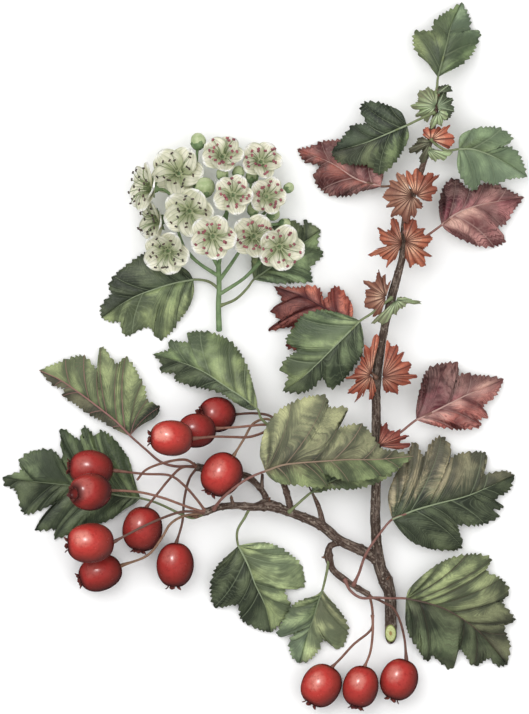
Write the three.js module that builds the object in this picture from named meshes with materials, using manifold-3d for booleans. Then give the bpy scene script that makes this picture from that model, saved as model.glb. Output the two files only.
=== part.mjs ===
// Cut hawthorn: a fruiting branch lying on its side, and a flowering sprig beside it.
// Millimetres, +Z up. Routes and outlines are plan positions on the surface that the cuttings lie on.
import * as THREE from 'three';
import { mergeVertices } from 'three/addons/utils/BufferGeometryUtils.js';
import Module from 'manifold-3d';

const wasm = await Module();
wasm.setup();

const CLEARANCE = 0.3; // between pieces that touch on the plant
const POLE_GAP = 0.35; // between a stalk's flat end and its haw
const BLADE_HALF = 0.25; // half the leaf blade's thickness
const FLOOR_HEIGHT = 0.3; // lowest mid-surface of a blade
const MIDRIB_STEPS = 7;
const STALK_SIDES = 5;
const STUB_REACH = 3.2; // length of the short fork that each flower's stalk goes on from
const WOOD_SIDES = 9;
const PETIOLE_RADIUS = 0.55;
const HAW_STALK_RADIUS = 0.5;
const GREEN_STALK_RADIUS = 0.5;
const HAW_SIDES = 12;
const CALYX_RADIUS = 1.7;
const CALYX_HEIGHT = 1.1;
const PETAL_COUNT = 5;
const PETAL_SECTORS = 4;
const PETAL_HALF = 0.25;
const PETAL_CUP = 0.28; // rise of a petal's rim for its reach
const RECEPTACLE_RADIUS = 1.5;
const RECEPTACLE_DEPTH = 2.6;
const BUD_SIDES = 6;
const CUT_TILT = [0.03, -0.53, 0.85]; // direction that the branch's slanting cut faces
const CUT_CENTRE = [37.8, -83.4, 2.45];

// ---- Wood: each route is a list of x, y, z and radius ----
const MAIN_STEM = [
  [37.9, -89, 2.1, 1.75], [37.5, -71.4, 3.2, 1.75], [36.3, -67.6, 3.9, 2.15], [34.6, -63.5, 4.8, 1.8],
  [33.2, -51.3, 6.4, 1.5], [33.4, -35, 7.3, 1.4], [33.4, -26, 8, 1.45], [33.4, -10, 8.9, 1.3],
  [33.8, -4, 9, 1.4], [35.7, 7.8, 9, 1.2], [38, 17.5, 9, 1.35], [41.2, 30, 9, 1.05], [41.8, 37, 9, 1.2],
  [42.4, 43, 9, 0.95], [45, 50, 8.7, 1.05], [48.2, 60, 8.7, 0.8], [49.7, 65.5, 8.8, 0.95],
  [51.1, 73, 9, 0.75], [51.6, 77.5, 9.4, 0.65],
];
const SIDE_BOUGH = [
  [33.5, -61, 4.8, 1.7], [30, -58.8, 6, 1.6], [22.2, -55.2, 7, 1.45], [17.1, -51, 7.5, 1.5],
  [7.8, -47, 8, 1.3], [1, -44.8, 8, 1.7], [-3.6, -45.3, 8, 1.2], [-8.7, -44.9, 8, 1.05],
  [-13.8, -45.4, 8, 1], [-18.5, -47, 7.7, 1.1],
];
const BOUGH_BUD = [[-9.5, -45, 8.2, 0.7], [-10, -43.1, 8.7, 0.5]];
const THORN = [[17.5, -51, 7.5, 0.95], [16, -45, 6.4, 0.7], [13.3, -39.4, 5, 0.22]];
const MID_SPUR = [
  [8, -47, 8, 1.1], [6.5, -41, 8.4, 0.95], [5, -36, 8.8, 0.9], [3.5, -29, 9, 0.9], [3.6, -23.5, 9, 1],
  [4.5, -20.5, 9.2, 1.25],
];
const LEFT_SPUR = [
  [1, -44.8, 7.6, 1.1], [-0.5, -41, 6, 0.9], [-2.5, -38.5, 4.9, 0.95], [-5, -36.4, 3.7, 1.1],
  [-9, -35.3, 2.5, 0.8], [-13, -34.7, 2.1, 0.8], [-17, -34.2, 3.2, 0.85], [-20.3, -33.4, 4.6, 1.2],
];
const LEFT_SPUR_STUB = [[-1, -40, 5.7, 0.6], [-0.8, -35.6, 6.4, 0.45]];
const LOOP_SPUR = [
  [22.4, -55.8, 6.8, 1], [19.5, -57.3, 5.6, 0.95], [19.1, -60.2, 4.9, 1.3], [20.4, -64.2, 4.3, 0.95],
  [23.1, -66.6, 4, 1.05], [26.4, -68.9, 4, 0.85], [31, -71.6, 4.1, 0.9],
];

// ---- Haws: centre, half length, radius and the direction from stalk to calyx ----
const HAWS = [
  ['haw_1', [-52.2, -33.8, 8.2], 6.7, 5.6, [-1, 0.08, 0]],
  ['haw_2', [-52.2, -40.6, 17.6], 6.8, 5.6, [-0.72, -0.06, 0.69]],
  ['haw_3', [-52.3, -56, 13.4], 7.1, 6.1, [-1, -0.05, 0]],
  ['haw_4', [-49.5, -65.2, 5.45], 6.6, 5.4, [-0.94, -0.33, 0]],
  ['haw_5', [-36.8, -52, 6.05], 6.7, 6, [-0.17, -0.98, 0]],
  ['haw_6', [-27, -62.8, 5.65], 6.7, 5.6, [-0.05, -1, 0]],
  ['haw_7', [-27.9, -24.5, 22.1], 6.5, 5.4, [-1, 0.02, 0]],
  ['haw_8', [-20.4, -22.3, 13.6], 5.7, 5.2, [-0.97, -0.1, 0.2]],
  ['haw_9', [-14.4, -17.6, 5.4], 5.6, 5.3, [-0.9, 0, 0.43]],
  ['haw_10', [-13, -35.5, 10.2], 6.7, 6.1, [-0.54, -0.84, 0]],
  ['haw_11', [16.9, -99, 6.1], 6.5, 6, [-0.5, -0.86, 0]],
  ['haw_12', [28.7, -99.3, 6.9], 6.3, 5.4, [-0.2, -0.98, 0]],
  ['haw_13', [40.3, -97.2, 5.7], 6.3, 5.6, [-0.35, -0.93, 0]],
];

// ---- Haw stalks: each cluster's routes, and the haw that each one ends at ----
const STALK_CLUSTERS = [
  ['stalks_foot', [
    [[[31.4, -71.9, 4.2], [32.1, -75, 4.4], [32.4, -78.5, 4.6], [32, -82, 4.7], [26.6, -86.7, 5.2],
      [22.6, -91, 5.8]], 'haw_11'],
    [[[32.3, -78, 4.6], [32.4, -82.5, 5], [31.6, -89, 6.4]], 'haw_12'],
    [[[31.6, -72.4, 4.3], [34, -73.2, 5.3], [36, -74.2, 6.9], [38.2, -75.4, 7.1], [40, -78.2, 6.7],
      [41.8, -84.4, 6.1]], 'haw_13'],
  ]],
  ['stalks_bough_tip', [
    [[[-18, -46.4, 8.4], [-20.5, -43, 8.9], [-24.5, -38.6, 8.8], [-28.4, -35.9, 8.6], [-36, -35.4, 8.3]],
      'haw_1'],
    [[[-18.4, -46.8, 8.4], [-22.8, -45.4, 10], [-30.9, -42.4, 12.4], [-38.1, -40.7, 13]], 'haw_2'],
    [[[-18.4, -46.9, 8.4], [-24.9, -46.7, 10.6], [-30.9, -48.6, 12.8], [-38, -51.8, 13.5]], 'haw_3'],
    [[[-18.4, -47, 8], [-24.9, -48.2, 8.8], [-28.4, -50.4, 9.6], [-31, -54.6, 10], [-35, -59.6, 9.6]],
      'haw_4'],
  ]],
  ['stalks_left_spur', [
    [[[-20.3, -33.4, 4.9], [-24.9, -33.5, 5], [-28.4, -36.6, 5.2], [-32, -41, 5.5]], 'haw_5'],
    [[[-20.3, -33.4, 4.9], [-23.7, -31.2, 6.4], [-30.5, -32.1, 7], [-36, -34.4, 5.2],
      [-38.4, -37.2, 4.6]], null],
    [[[-20.3, -33.5, 4.6], [-22.6, -36.6, 4.2], [-24.2, -42.6, 4], [-24.9, -50.1, 4.4]], 'haw_6'],
  ]],
  ['stalks_mid_spur', [
    [[[4.2, -20.8, 9.4], [0.3, -22.6, 10.6], [-4.5, -24.2, 13.2], [-10, -24.2, 16.6],
      [-15.5, -24.1, 20]], 'haw_7'],
    [[[4.2, -20.5, 9.4], [-1, -20.6, 10.2], [-7, -21.2, 11.6]], 'haw_8'],
    [[[4.2, -20.4, 9.4], [1.5, -18, 9], [-3, -17.2, 7.6]], 'haw_9'],
    [[[4, -20.5, 9.2], [0.5, -18.9, 9.2], [-3.4, -20.2, 9.2], [-6.4, -25, 9.6]], 'haw_10'],
  ]],
];

// ---- Leaves ----
// stalk: petiole route; rib: midrib in plan from base to tip; height: base, tip, hump, then how far
// the two margins droop; a and b: the two margins' lobe tips and sinuses from base to tip;
// bracts: stipule fans, each a foot, the height of its rim and the rim's points in order.
const LEAVES = [
  {
    name: 'leaf_top', colour: 0x6f7d5c, height: [9, 1.5, 1.5, 4, 5],
    stalk: [[51.5, 77, 9.5], [51.6, 80.5, 9.6], [51.9, 83.6, 9]],
    rib: [[51.9, 83.6], [54.6, 94], [56, 99.5], [59.3, 106.5]],
    a: [[50.2, 85.9], [48.3, 88.6], [45.6, 91.2], [44.6, 94], [45.1, 97.5], [48.4, 97.6], [49.8, 97.4],
      [50.8, 100.4], [53, 102.5], [56.4, 104.6]],
    b: [[53.6, 84.6], [56.7, 86.2], [60.4, 88.7], [62.6, 91.4], [63.9, 94.3], [64.8, 97.6], [61.4, 97],
      [61.9, 100.4], [60.9, 103.4]],
    bracts: [
      [[51.3, 75, 9.7], 8.6, [
        [51.9, 81.3], [49.5, 80.8], [47.7, 80.5], [46.2, 79.5], [45.3, 78], [44.2, 76.5], [43.6, 75],
        [44.4, 73.5], [45, 72], [46.8, 71.1], [48.6, 70.2],
      ]],
      [[51.6, 74.7, 9.8], 9, [
        [52.5, 78.9], [54, 79.3], [56.1, 78.3], [56.5, 75.9], [56.9, 74.4], [56.1, 72.3], [56.4, 71.4],
        [55.2, 70.2], [53.4, 71.4],
      ]],
      [[51.6, 78.6, 9.8], 9.6, [
        [52.5, 81.1], [54.9, 81.3], [57.1, 79.6], [55.2, 80], [53.1, 79],
      ]],
    ],
  },
  {
    name: 'leaf_upper_left', colour: 0x4f5a48, height: [9.8, 4.6, 1, 2, 0.5],
    stalk: [[50.8, 73, 10.4], [48.5, 72, 10.5], [45.5, 70.6, 10.1], [42.6, 69.2, 9.8]],
    rib: [[42.6, 69.2], [37, 66.8], [30, 64], [19.9, 61.3]],
    a: [[41, 73], [37.5, 75], [33, 76.3], [29.5, 76], [28.7, 74], [30.4, 70], [26.5, 69.4], [24.3, 67]],
    b: [[43.2, 66], [41.5, 62], [38.5, 57.5], [34.3, 54.6], [30.8, 57.2], [27.5, 57.5], [22, 58.3]],
    bracts: [
      [[51.9, 73.2, 10.4], 10.2, [
        [53.1, 74.2], [54.6, 73.2], [54.6, 70.8], [52.5, 68.7], [49.8, 68.4], [49.5, 69.9],
      ]],
    ],
  },
  {
    name: 'leaf_upper_right', colour: 0x7f9072, height: [10.8, 5.5, 1, 2, 2.4],
    stalk: [[49.7, 65, 10.5], [51.8, 63, 10.7], [54.5, 61.6, 10.8], [58, 62, 10.8]],
    rib: [[58, 62], [62, 62], [67, 60.5], [73, 57.5], [78.8, 53.8]],
    a: [[58.5, 66], [62, 68], [66, 68.7], [71, 68.2], [74.3, 65.2], [70, 62.8], [73.5, 62.8], [76, 61],
      [77.5, 58]],
    b: [[57.6, 57], [59.5, 52.5], [62.8, 49.8], [65, 52.5], [69, 51.5], [72.3, 52.9]],
    bracts: [
      [[49.8, 64.8, 10.4], 10.4, [
        [47.4, 66], [47.5, 67.8], [48.6, 69], [49.8, 68.1], [51.3, 68.4], [52.8, 69], [54.3, 69.3],
        [55.5, 69.1], [56.5, 67.5], [56.7, 65.4], [56.9, 63.3], [55.8, 62.1],
      ]],
      [[49.8, 64.2, 10.3], 9.7, [
        [46.5, 65.7], [44.7, 63.9], [43.2, 62.1], [43.2, 60.9], [44.7, 60.3], [46.2, 61.2], [46.2, 59.4],
        [46.8, 57.6], [48.3, 57.9], [48.9, 60.3],
      ]],
      [[48.6, 62.1, 10.2], 10.8, [
        [49.5, 62.7], [51.3, 61.9], [54.3, 61], [56.4, 60.9], [55.5, 59.4], [52.5, 58.5], [49.8, 58.6],
      ]],
    ],
  },
  {
    name: 'leaf_red_left', colour: 0x85564f, height: [5, 0.9, 0.5, 1.6, 1.2],
    stalk: [[44.8, 49.4, 10.5], [41.5, 50.2, 9.2], [38, 51, 6.8], [34.8, 51, 5]],
    rib: [[34.8, 51], [28, 53], [20, 58], [9.7, 62.3]],
    a: [[35.5, 55], [31, 59.5], [26.5, 60.8], [26.5, 64.4], [22, 65], [17, 64.5], [14, 63.2]],
    b: [[33, 50.3], [29, 49.5], [25, 48.2], [20, 48.3], [17, 50], [14.7, 54], [16.6, 57.2], [12, 58.5]],
    bracts: [
      [[44.1, 48, 10.4], 11.2, [
        [40.8, 55.8], [39.3, 54.9], [37.5, 52.8], [36.3, 50.7], [35.7, 48.9], [35.1, 46.8], [36.3, 44.7],
        [36.8, 43.2], [37.8, 41.7], [39.6, 41.4], [41.1, 40.2], [42.9, 39.8], [43.8, 41.1], [45.6, 41.9],
        [46.5, 43.5], [47.2, 44.7], [46.5, 46.5],
      ]],
      [[45.3, 48, 10.5], 10.4, [
        [40.9, 55.2], [42.9, 55.8], [44.4, 56.7], [46.2, 55.8], [47.7, 54.9], [49.5, 55.5], [50.4, 54.6],
        [52.5, 55.2], [51.9, 53.1], [51.6, 49.5], [50.7, 48.3], [50.7, 46.8], [48.6, 46.4],
      ]],
    ],
  },
  {
    name: 'leaf_red_right', colour: 0x8b6561, height: [8.2, 1.6, 0.6, 3.6, 3.4],
    stalk: [[41.8, 37.4, 10.8], [43.6, 34.8, 10.6], [46.4, 34.8, 10], [49.6, 36.8, 9], [53, 39.3, 8.2]],
    rib: [[53, 39.3], [57, 42.5], [63, 45], [70, 46.5], [78, 47.8]],
    a: [[52.4, 42], [52.3, 46], [54.5, 52], [57.3, 53.4], [61.5, 50], [66, 51.8], [70, 51.5], [75, 49]],
    b: [[54, 38], [58, 35.5], [65, 33], [69, 33], [72.3, 34.7], [69.8, 38.8], [72, 39.5], [74.5, 43.3]],
    bracts: [
      [[41.1, 33.9, 10.6], 9.8, [
        [39.3, 41.4], [36.9, 40.8], [36.6, 39], [37.2, 37.8], [33.9, 38.4], [33.9, 36.3], [34.8, 34.2],
        [35.7, 33.1], [31.8, 31.5], [30.9, 29.7], [33.3, 30.1], [34.8, 29.7], [36.3, 26.7], [37.8, 27.3],
        [39.3, 29.7],
      ]],
      [[42, 34.5, 10.7], 10, [
        [41.7, 40.2], [43.5, 41.4], [45.9, 40.5], [47.7, 39.6], [48, 37.8], [48.9, 36.6], [50.7, 34.8],
        [49.5, 33], [47.7, 32.4], [49.5, 30.9], [49.9, 28.8], [48.3, 28.1], [47.7, 26.4], [45.3, 27],
        [43.5, 26.6], [42.3, 28.2], [42.1, 30.9],
      ]],
    ],
  },
  {
    name: 'leaf_green_left', colour: 0x6f7b5c, height: [11.5, 5, 0.9, 1, 2],
    stalk: [[38, 17.4, 10.9], [35, 15.3, 11.2], [32, 12.8, 11.5], [28.5, 10.5, 11.5]],
    rib: [[28.5, 10.5], [24, 6], [20, 2], [15, -3], [10, -7.5], [5.3, -10.6]],
    a: [[27, 11.3], [22, 13], [17, 13.8], [13, 13], [10.5, 11.5], [8, 7.5], [6.3, 4.6], [9.8, 1.9],
      [6.6, -0.6], [4.7, -4], [7, -5.3]],
    b: [[29.2, 8], [29.6, 4], [28.8, 0], [26.5, -3.5], [23.5, -7.3], [19.7, -9.8], [17.3, -6.5],
      [14.5, -9.5], [11, -11], [8, -11]],
    bracts: [
      [[36.3, 17.7, 10.8], 11.4, [
        [37.8, 23.4], [36.3, 22.2], [35.7, 25.2], [34.5, 24.6], [33.6, 26.8], [33.3, 24], [30.6, 23.7],
        [29.4, 22.5], [30.3, 20.7], [29.5, 18], [29.7, 15.9], [30.3, 13.8], [32.1, 12.3], [33, 10.8],
        [34.2, 11.7],
      ]],
      [[39.3, 16.8, 10.9], 11.2, [
        [40.2, 17.8], [43.2, 17.4], [48.6, 15.8], [42.9, 15.4], [41.1, 14.1], [39, 12], [36.9, 10.2],
        [34.5, 9.3], [31.8, 9.6],
      ]],
    ],
  },
  {
    name: 'leaf_red_under', colour: 0x915e57, height: [5.6, 1.2, 0.4, 1.2, 1.6],
    stalk: [[33.4, -6.6, 11], [31.2, -4.2, 10], [29, 0, 7.6], [27.3, 5, 6.2], [26, 9.5, 5.6]],
    rib: [[26, 9.5], [20, 13], [12, 17.6], [2.7, 21]],
    a: [[26.4, 14.6], [24.4, 18.4], [21.2, 21], [17.6, 16.8], [16.4, 20.2], [13.7, 21.2], [9.4, 20.6]],
    b: [[22, 6.5], [15, 3.6], [9, 2], [6.5, 2.8], [8, 8.6], [1.2, 7.6], [4.5, 10.4], [1.9, 13.8],
      [5.4, 15.6]],
    bracts: [
      [[31.8, -5.7, 11], 10.4, [
        [34.2, 6.9], [32.1, 6], [30.3, 4.5], [29.4, 1.8], [28.5, -0.9], [27.6, -3.3], [25.8, -4.8],
        [24, -6.6], [26.4, -7.5], [27.3, -8.2], [25.5, -9.6], [24.9, -11.1], [27, -11.7], [27, -13.8],
        [28.8, -12.9], [29.7, -10.9], [31.2, -11.1], [31.5, -13.2], [32.7, -12.3], [33.3, -9.6],
      ]],
      [[35.1, -6.3, 11], 10.6, [
        [36.9, 5.4], [38.4, 3.6], [39.6, 3.3], [40.8, 3], [41.7, 1.2], [43.2, -0.3], [43.8, -2.4],
        [43.8, -4.5], [45.9, -6.3], [43.8, -7.8], [43.2, -9.3], [41.4, -10], [40.5, -10.8], [39.3, -11.4],
        [37.5, -11.4], [36, -10.5], [35.4, -9],
      ]],
    ],
  },
  {
    name: 'leaf_red_lower', colour: 0x93696a, height: [8.4, 1.2, 1, 3.2, 3.4],
    stalk: [[33.6, -26.6, 10.2], [37, -25.2, 9.9], [40.6, -22.9, 9.3], [45.4, -19.2, 8.4]],
    rib: [[45.4, -19.2], [53, -15.5], [60, -12], [66, -9.5], [71.9, -6.9]],
    a: [[45.3, -16.5], [46, -12], [47.3, -7.6], [49, -4], [52, -2.5], [58, -2.3], [57.7, -6], [60, -5.2],
      [63, -5.7], [68.3, -6.2]],
    b: [[47, -19.8], [51, -21], [55, -21.7], [60, -22], [65, -21], [64, -19.5], [67.3, -18], [65.3, -15.8],
      [69.6, -11.7]],
    bracts: [
      [[33.9, -27, 10.2], 9.9, [
        [35.5, -18.9], [36.9, -20.4], [37.8, -20.7], [38.9, -21.6], [39.6, -22.8], [40.5, -21.9],
        [41.1, -23.4], [43, -23.8], [42.3, -25.5], [43.8, -26.7], [42.9, -28.2],
      ]],
    ],
  },
  {
    name: 'leaf_dark_right', colour: 0x575a49, height: [8.4, 1.2, 1, 3.2, 4],
    stalk: [[26.6, -68.9, 4.7], [28.3, -65, 6.6], [29.6, -61, 8.3], [31.2, -57.8, 9.2], [35, -52.5, 9.3],
      [38.2, -49, 8.4]],
    rib: [[38.2, -49], [45, -46.3], [52, -44.3], [60, -42.3], [66, -40], [75.2, -35.8]],
    a: [[37.4, -46], [36.9, -42], [38.5, -37], [42, -31], [45, -25.8], [47.6, -30.4], [50, -26], [53, -24.2],
      [55.6, -27], [54.7, -32.3], [57, -30], [61, -29], [66.5, -29.4], [65, -35.3], [72.3, -34.6]],
    b: [[39.5, -51], [42, -54], [45, -56.3], [52.3, -58.3], [59.2, -57.5], [58, -51], [62, -51],
      [66, -50.5], [70.3, -48.2], [67.5, -46.6], [71.6, -45.7], [69, -43.4], [73.5, -40.3]],
    bracts: [],
  },
  {
    name: 'leaf_foot_right', colour: 0x666b54, height: [6.8, 1, 1.5, 3, 4],
    stalk: [[24, -67.2, 4.8], [25.6, -70.4, 5.4], [28.8, -72.6, 6.6], [33.2, -72.5, 7.8], [37, -72.7, 7.8],
      [42.3, -72.8, 6.8]],
    rib: [[42.3, -72.8], [48, -74], [54, -76], [60, -79.5], [65, -83.5], [73, -93]],
    a: [[43, -70.4], [45, -68], [50, -63.8], [55, -61], [60, -59.8], [64, -59.6], [68, -61], [66.5, -64.5],
      [71, -67], [73.5, -70.8], [71.5, -73.8], [75.2, -79.5], [72, -81], [73.7, -87]],
    b: [[42.2, -76], [42.2, -80], [43.4, -84], [46, -88], [48.9, -92], [50, -90], [56, -94.3], [58.3, -88],
      [63, -93.3], [67.3, -91], [70, -93.3]],
    bracts: [],
  },
  {
    name: 'leaf_big_underside', colour: 0x757662, height: [14.8, 12.6, 2.4, 2.6, 1.6],
    stalk: [[-15.4, -46, 9.4], [-13.2, -43, 12.8], [-10.6, -40.6, 14.6], [-7, -37.8, 15.4],
      [-3.4, -35.8, 15.3], [0, -34.5, 14.8]],
    rib: [[0, -34.5], [5, -32.7], [10, -32], [17, -31.5], [25, -31], [33, -31], [44.5, -30]],
    a: [[-0.6, -32.5], [-1.5, -30], [-1, -25], [1, -20], [4, -16.5], [8, -14], [12, -12.5], [18.3, -12],
      [19, -15.2], [24.5, -15.5], [21.4, -21.6], [24, -21], [29, -20.5], [33, -25], [35, -27.7], [40, -28.6]],
    b: [[1.4, -36.4], [4, -38], [10, -38.7], [18.5, -39], [17.6, -35.4], [25, -37.7], [33, -36.5], [38, -35],
      [41, -32.6]],
    bracts: [],
  },
  {
    name: 'leaf_under_big', colour: 0x58594a, height: [9.2, 11, 0.4, 0.3, 0.3],
    stalk: [[7.2, -46.8, 9.2], [10, -44.2, 9.4], [13.8, -41, 9.2]],
    rib: [[13.8, -41], [20, -37.5], [29, -34], [42, -31.5]],
    a: [[14.6, -38.5], [20, -33.5], [27, -31.5], [34, -30.3], [39, -30.4]],
    b: [[16, -41], [20, -39.9], [27, -39.8], [33, -38.2], [38, -35.5]],
    bracts: [],
  },
  {
    name: 'leaf_centre_left', colour: 0x6f775c, height: [11.8, 1.2, 1.4, 2.6, 1],
    stalk: [[4.2, -20.4, 10.5], [1.2, -20.6, 11.7], [-1.2, -18.6, 12], [-2.2, -16, 11.8]],
    rib: [[-2.2, -16], [-6, -13], [-12, -9], [-18, -5], [-24, -2.3], [-33.8, 0.5]],
    a: [[-2.4, -13.5], [-3.5, -9], [-5, -4], [-7.5, 1], [-10.5, 4.5], [-14, 6.3], [-17.5, 7.3], [-23, 6.8],
      [-22.7, 4.5], [-29.2, 4.4], [-28.4, 2.4]],
    b: [[-4.5, -16.2], [-8, -14.6], [-13, -11.3], [-17, -10], [-22, -9], [-27.3, -6.9], [-26, -5.5],
      [-31.5, -4.6], [-31, -2.4]],
    bracts: [],
  },
  {
    name: 'leaf_pale_left', colour: 0x7d7d62, height: [3.6, 0.8, 1.2, 1, 1.2],
    stalk: [[-20.3, -33.2, 3.9], [-23.6, -33.2, 3.2], [-27.4, -33.1, 3.2], [-31.4, -31.8, 3.4],
      [-36, -28, 3.6], [-40.5, -24, 3.6]],
    rib: [[-40.5, -24], [-45, -19.5], [-50, -15.5], [-56, -11], [-62, -7], [-68, -4.3]],
    a: [[-38.8, -21.4], [-33, -18.4], [-31.7, -15.4], [-35.4, -13.2], [-36.2, -9.5], [-38, -6], [-42, -0.3],
      [-44.3, -2.5], [-49.3, 2.8], [-50.3, -4], [-54.5, 0], [-58, -0.4], [-62, -1.9]],
    b: [[-42, -23.5], [-46, -21.5], [-49, -19.6], [-53, -17.5], [-57, -14.5], [-60.7, -11.9], [-60.4, -9.8],
      [-63.4, -9]],
    bracts: [],
  },
  {
    name: 'leaf_far_left', colour: 0x58604c, height: [2.2, 0.6, 0, 0.4, 0.5],
    stalk: [[-18.4, -47.3, 7.2], [-21.4, -48.6, 7], [-25, -47.6, 6.4], [-28.6, -45.9, 5.4], [-33, -44, 3.6],
      [-37.5, -42.8, 2.2]],
    rib: [[-37.5, -42.8], [-44, -42], [-52, -40], [-60, -38.8], [-68, -38], [-79, -36.5]],
    a: [[-38.4, -40], [-39.6, -36], [-41, -31], [-46, -24.5], [-49.5, -22.5], [-51, -24], [-54.5, -21.2],
      [-55.8, -25], [-61.3, -21.9], [-61, -31.5], [-64, -28.4], [-71, -29], [-74, -31.7], [-73, -34]],
    b: [[-39, -44.2], [-42, -46], [-46.5, -49.2], [-55, -52], [-63.5, -54.8], [-62.8, -52.4], [-69, -52.3],
      [-61.5, -43.4], [-68, -46.5], [-72.5, -47.5], [-75.2, -40.4], [-78.3, -38.8]],
    bracts: [],
  },
  {
    name: 'leaf_foot_left', colour: 0x70795b, height: [6.4, 1, 1.4, 4, 4],
    stalk: [[-4.6, -45.6, 8], [-5.9, -48.2, 7.6], [-8.3, -52.6, 7], [-8, -57, 6.4]],
    rib: [[-8, -57], [-5, -63], [-3, -68.5], [0, -75], [1.8, -83.3]],
    a: [[-9.6, -58.4], [-12, -60.6], [-14.5, -63.5], [-16.2, -68], [-16.2, -72], [-15.2, -75.4], [-8.2, -75],
      [-7.3, -79], [-3, -81.8]],
    b: [[-5.6, -56.4], [0, -56], [4, -57.3], [8, -60], [10.8, -62.8], [11.5, -69.5], [6, -70.3],
      [7.8, -75.5], [7, -78], [4.2, -81]],
    bracts: [],
  },
  {
    name: 'leaf_foot_centre', colour: 0x7f8767, height: [5.6, 0.9, 1, 1.2, 3],
    stalk: [[19.1, -60.4, 5.2], [18.8, -63.6, 5.7], [18.1, -67, 5.8], [17.3, -70.2, 5.6]],
    rib: [[17.3, -70.2], [16, -74], [14.5, -79], [12.5, -85], [10.5, -92.5]],
    a: [[15.4, -71.8], [12, -73], [8.5, -74.8], [5.5, -79.5], [3.7, -84.3], [8.7, -83.4], [7.3, -86],
      [8.2, -90.6]],
    b: [[18.6, -72], [21.5, -75.4], [24.5, -80], [25, -83], [22.5, -88.2], [17.4, -85.2], [16.4, -88],
      [13.4, -91.4]],
    bracts: [],
  },
  {
    name: 'leaf_flower_left', colour: 0x5c664e, height: [2.6, 0.5, 0.6, 1.4, 1.6],
    stalk: [[-13.6, 20, 3.4], [-17, 22.4, 3], [-21.5, 23, 2.6]],
    rib: [[-21.5, 23], [-27, 22], [-33, 20.2], [-40, 17.5], [-49.3, 11.5]],
    a: [[-23, 25.4], [-27, 28], [-31.5, 30.4], [-36, 31], [-40, 28.5], [-45.5, 24], [-47, 21], [-46.2, 19.2],
      [-49.3, 15]],
    b: [[-21.4, 19], [-23, 14.5], [-26, 10.5], [-28.5, 7], [-31.8, 5], [-35, 8.7], [-42, 6.2], [-43.8, 10.3],
      [-46, 10.2]],
    bracts: [],
  },
  {
    name: 'leaf_flower_right', colour: 0x5f6b51, height: [2.6, 0.7, 0.4, 1.2, 1.4],
    stalk: [[-13.8, 15, 3], [-9, 17, 2.9], [-5.5, 20.2, 2.8], [-3.4, 23, 2.6]],
    rib: [[-3.4, 23], [3, 27.6], [9.6, 32.6], [16.8, 38]],
    a: [[-4, 26], [-3.8, 31], [-1, 36], [3, 39.6], [7.7, 41], [11.8, 38.8], [11.7, 40.8]],
    b: [[-0.6, 22.4], [4.4, 21.8], [9.4, 22.2], [14.1, 22.6], [13.6, 26.4], [17.4, 30.5], [15.8, 33.2]],
    bracts: [],
  },
];

// ---- Flowering sprig ----
const SPRIG_BRANCHES = [
  [[-13.8, 7.8, 2.6, 0.9], [-14, 15, 3, 0.8], [-13.8, 21, 3.6, 0.75], [-14, 27, 4.5, 0.75]],
  [[-13.9, 24, 4, 0.6], [-20, 28, 5.2, 0.5], [-24, 31.8, 6, 0.65]],
  [[-14, 26.6, 4.4, 0.6], [-18.5, 35, 5.8, 0.5], [-22, 41, 6.4, 0.65]],
  [[-14, 26.6, 4.4, 0.6], [-12.5, 36, 6.2, 0.5], [-11.5, 43, 7.4, 0.65]],
  [[-13.8, 22.6, 3.8, 0.6], [-8, 31, 5.6, 0.5], [-4, 39, 6.4, 0.65]],
  [[-13.8, 18.5, 3.4, 0.6], [-6, 23.6, 5.4, 0.5], [-1.4, 28.4, 6, 0.65]],
];
// Buds: centre, radius, and the branch tip that each one's stalk leaves.
const BUDS = [
  [[-20.1, 64.6, 7.4], 2.4, [-22, 41, 6.4]], [[-18, 50.6, 12.2], 3, [-22, 41, 6.4]],
  [[-12.8, 54.5, 11.4], 1.9, [-11.5, 43, 7.4]], [[-8, 55.2, 9.4], 1.9, [-11.5, 43, 7.4]],
  [[-4.3, 53.8, 6.6], 1.7, [-4, 39, 6.4]], [[-3.6, 44, 9.4], 1.9, [-4, 39, 6.4]],
  [[2.6, 42.6, 7], 1.9, [-4, 39, 6.4]], [[6, 39.8, 5.4], 1.7, [-4, 39, 6.4]],
  [[7.2, 50.6, 6], 1.6, [-4, 39, 6.4]],
];
// Open flowers: name, centre, radius, direction faced, and the branch tip that the stalk leaves.
const FLOWERS = [
  ['flower_1', [-25.9, 54.8, 5.8], 7.6, [-0.15, 0.2, 0.97], [-22, 41, 6.4]],
  ['flower_2', [-12.8, 59.7, 9.8], 6.1, [0, 0.5, 0.86], [-11.5, 43, 7.4]],
  ['flower_3', [-1.3, 58.2, 8], 5.7, [0.15, 0.35, 0.92], [-4, 39, 6.4]],
  ['flower_4', [-34.1, 50.2, 12.6], 7.1, [-0.88, 0.12, 0.46], [-22, 41, 6.4]],
  ['flower_5', [-9.6, 48.1, 14.6], 5.7, [0.05, 0.1, 0.99], [-11.5, 43, 7.4]],
  ['flower_6', [0.3, 47.8, 10.6], 5.4, [0.3, 0.12, 0.95], [-4, 39, 6.4]],
  ['flower_7', [-22.6, 43.4, 14.8], 7.3, [-0.1, -0.25, 0.96], [-22, 41, 6.4]],
  ['flower_8', [-31.9, 40.6, 8], 6.1, [-0.87, -0.12, 0.48], [-24, 31.8, 6]],
  ['flower_9', [-15.6, 35.8, 18.2], 6.4, [0.05, -0.12, 0.99], [-11.5, 43, 7.4]],
  ['flower_10', [-29.1, 31.6, 9.6], 6.8, [-0.2, -0.4, 0.89], [-24, 31.8, 6]],
  ['flower_11', [-3.4, 35.9, 14.6], 6.3, [0.1, -0.05, 0.99], [-4, 39, 6.4]],
  ['flower_12', [4.2, 32.7, 18.2], 6.7, [0.2, -0.25, 0.95], [-1.4, 28.4, 6]],
];

// ---- Shapes ----
const vector = (p) => new THREE.Vector3(p[0], p[1], p[2]);

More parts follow.
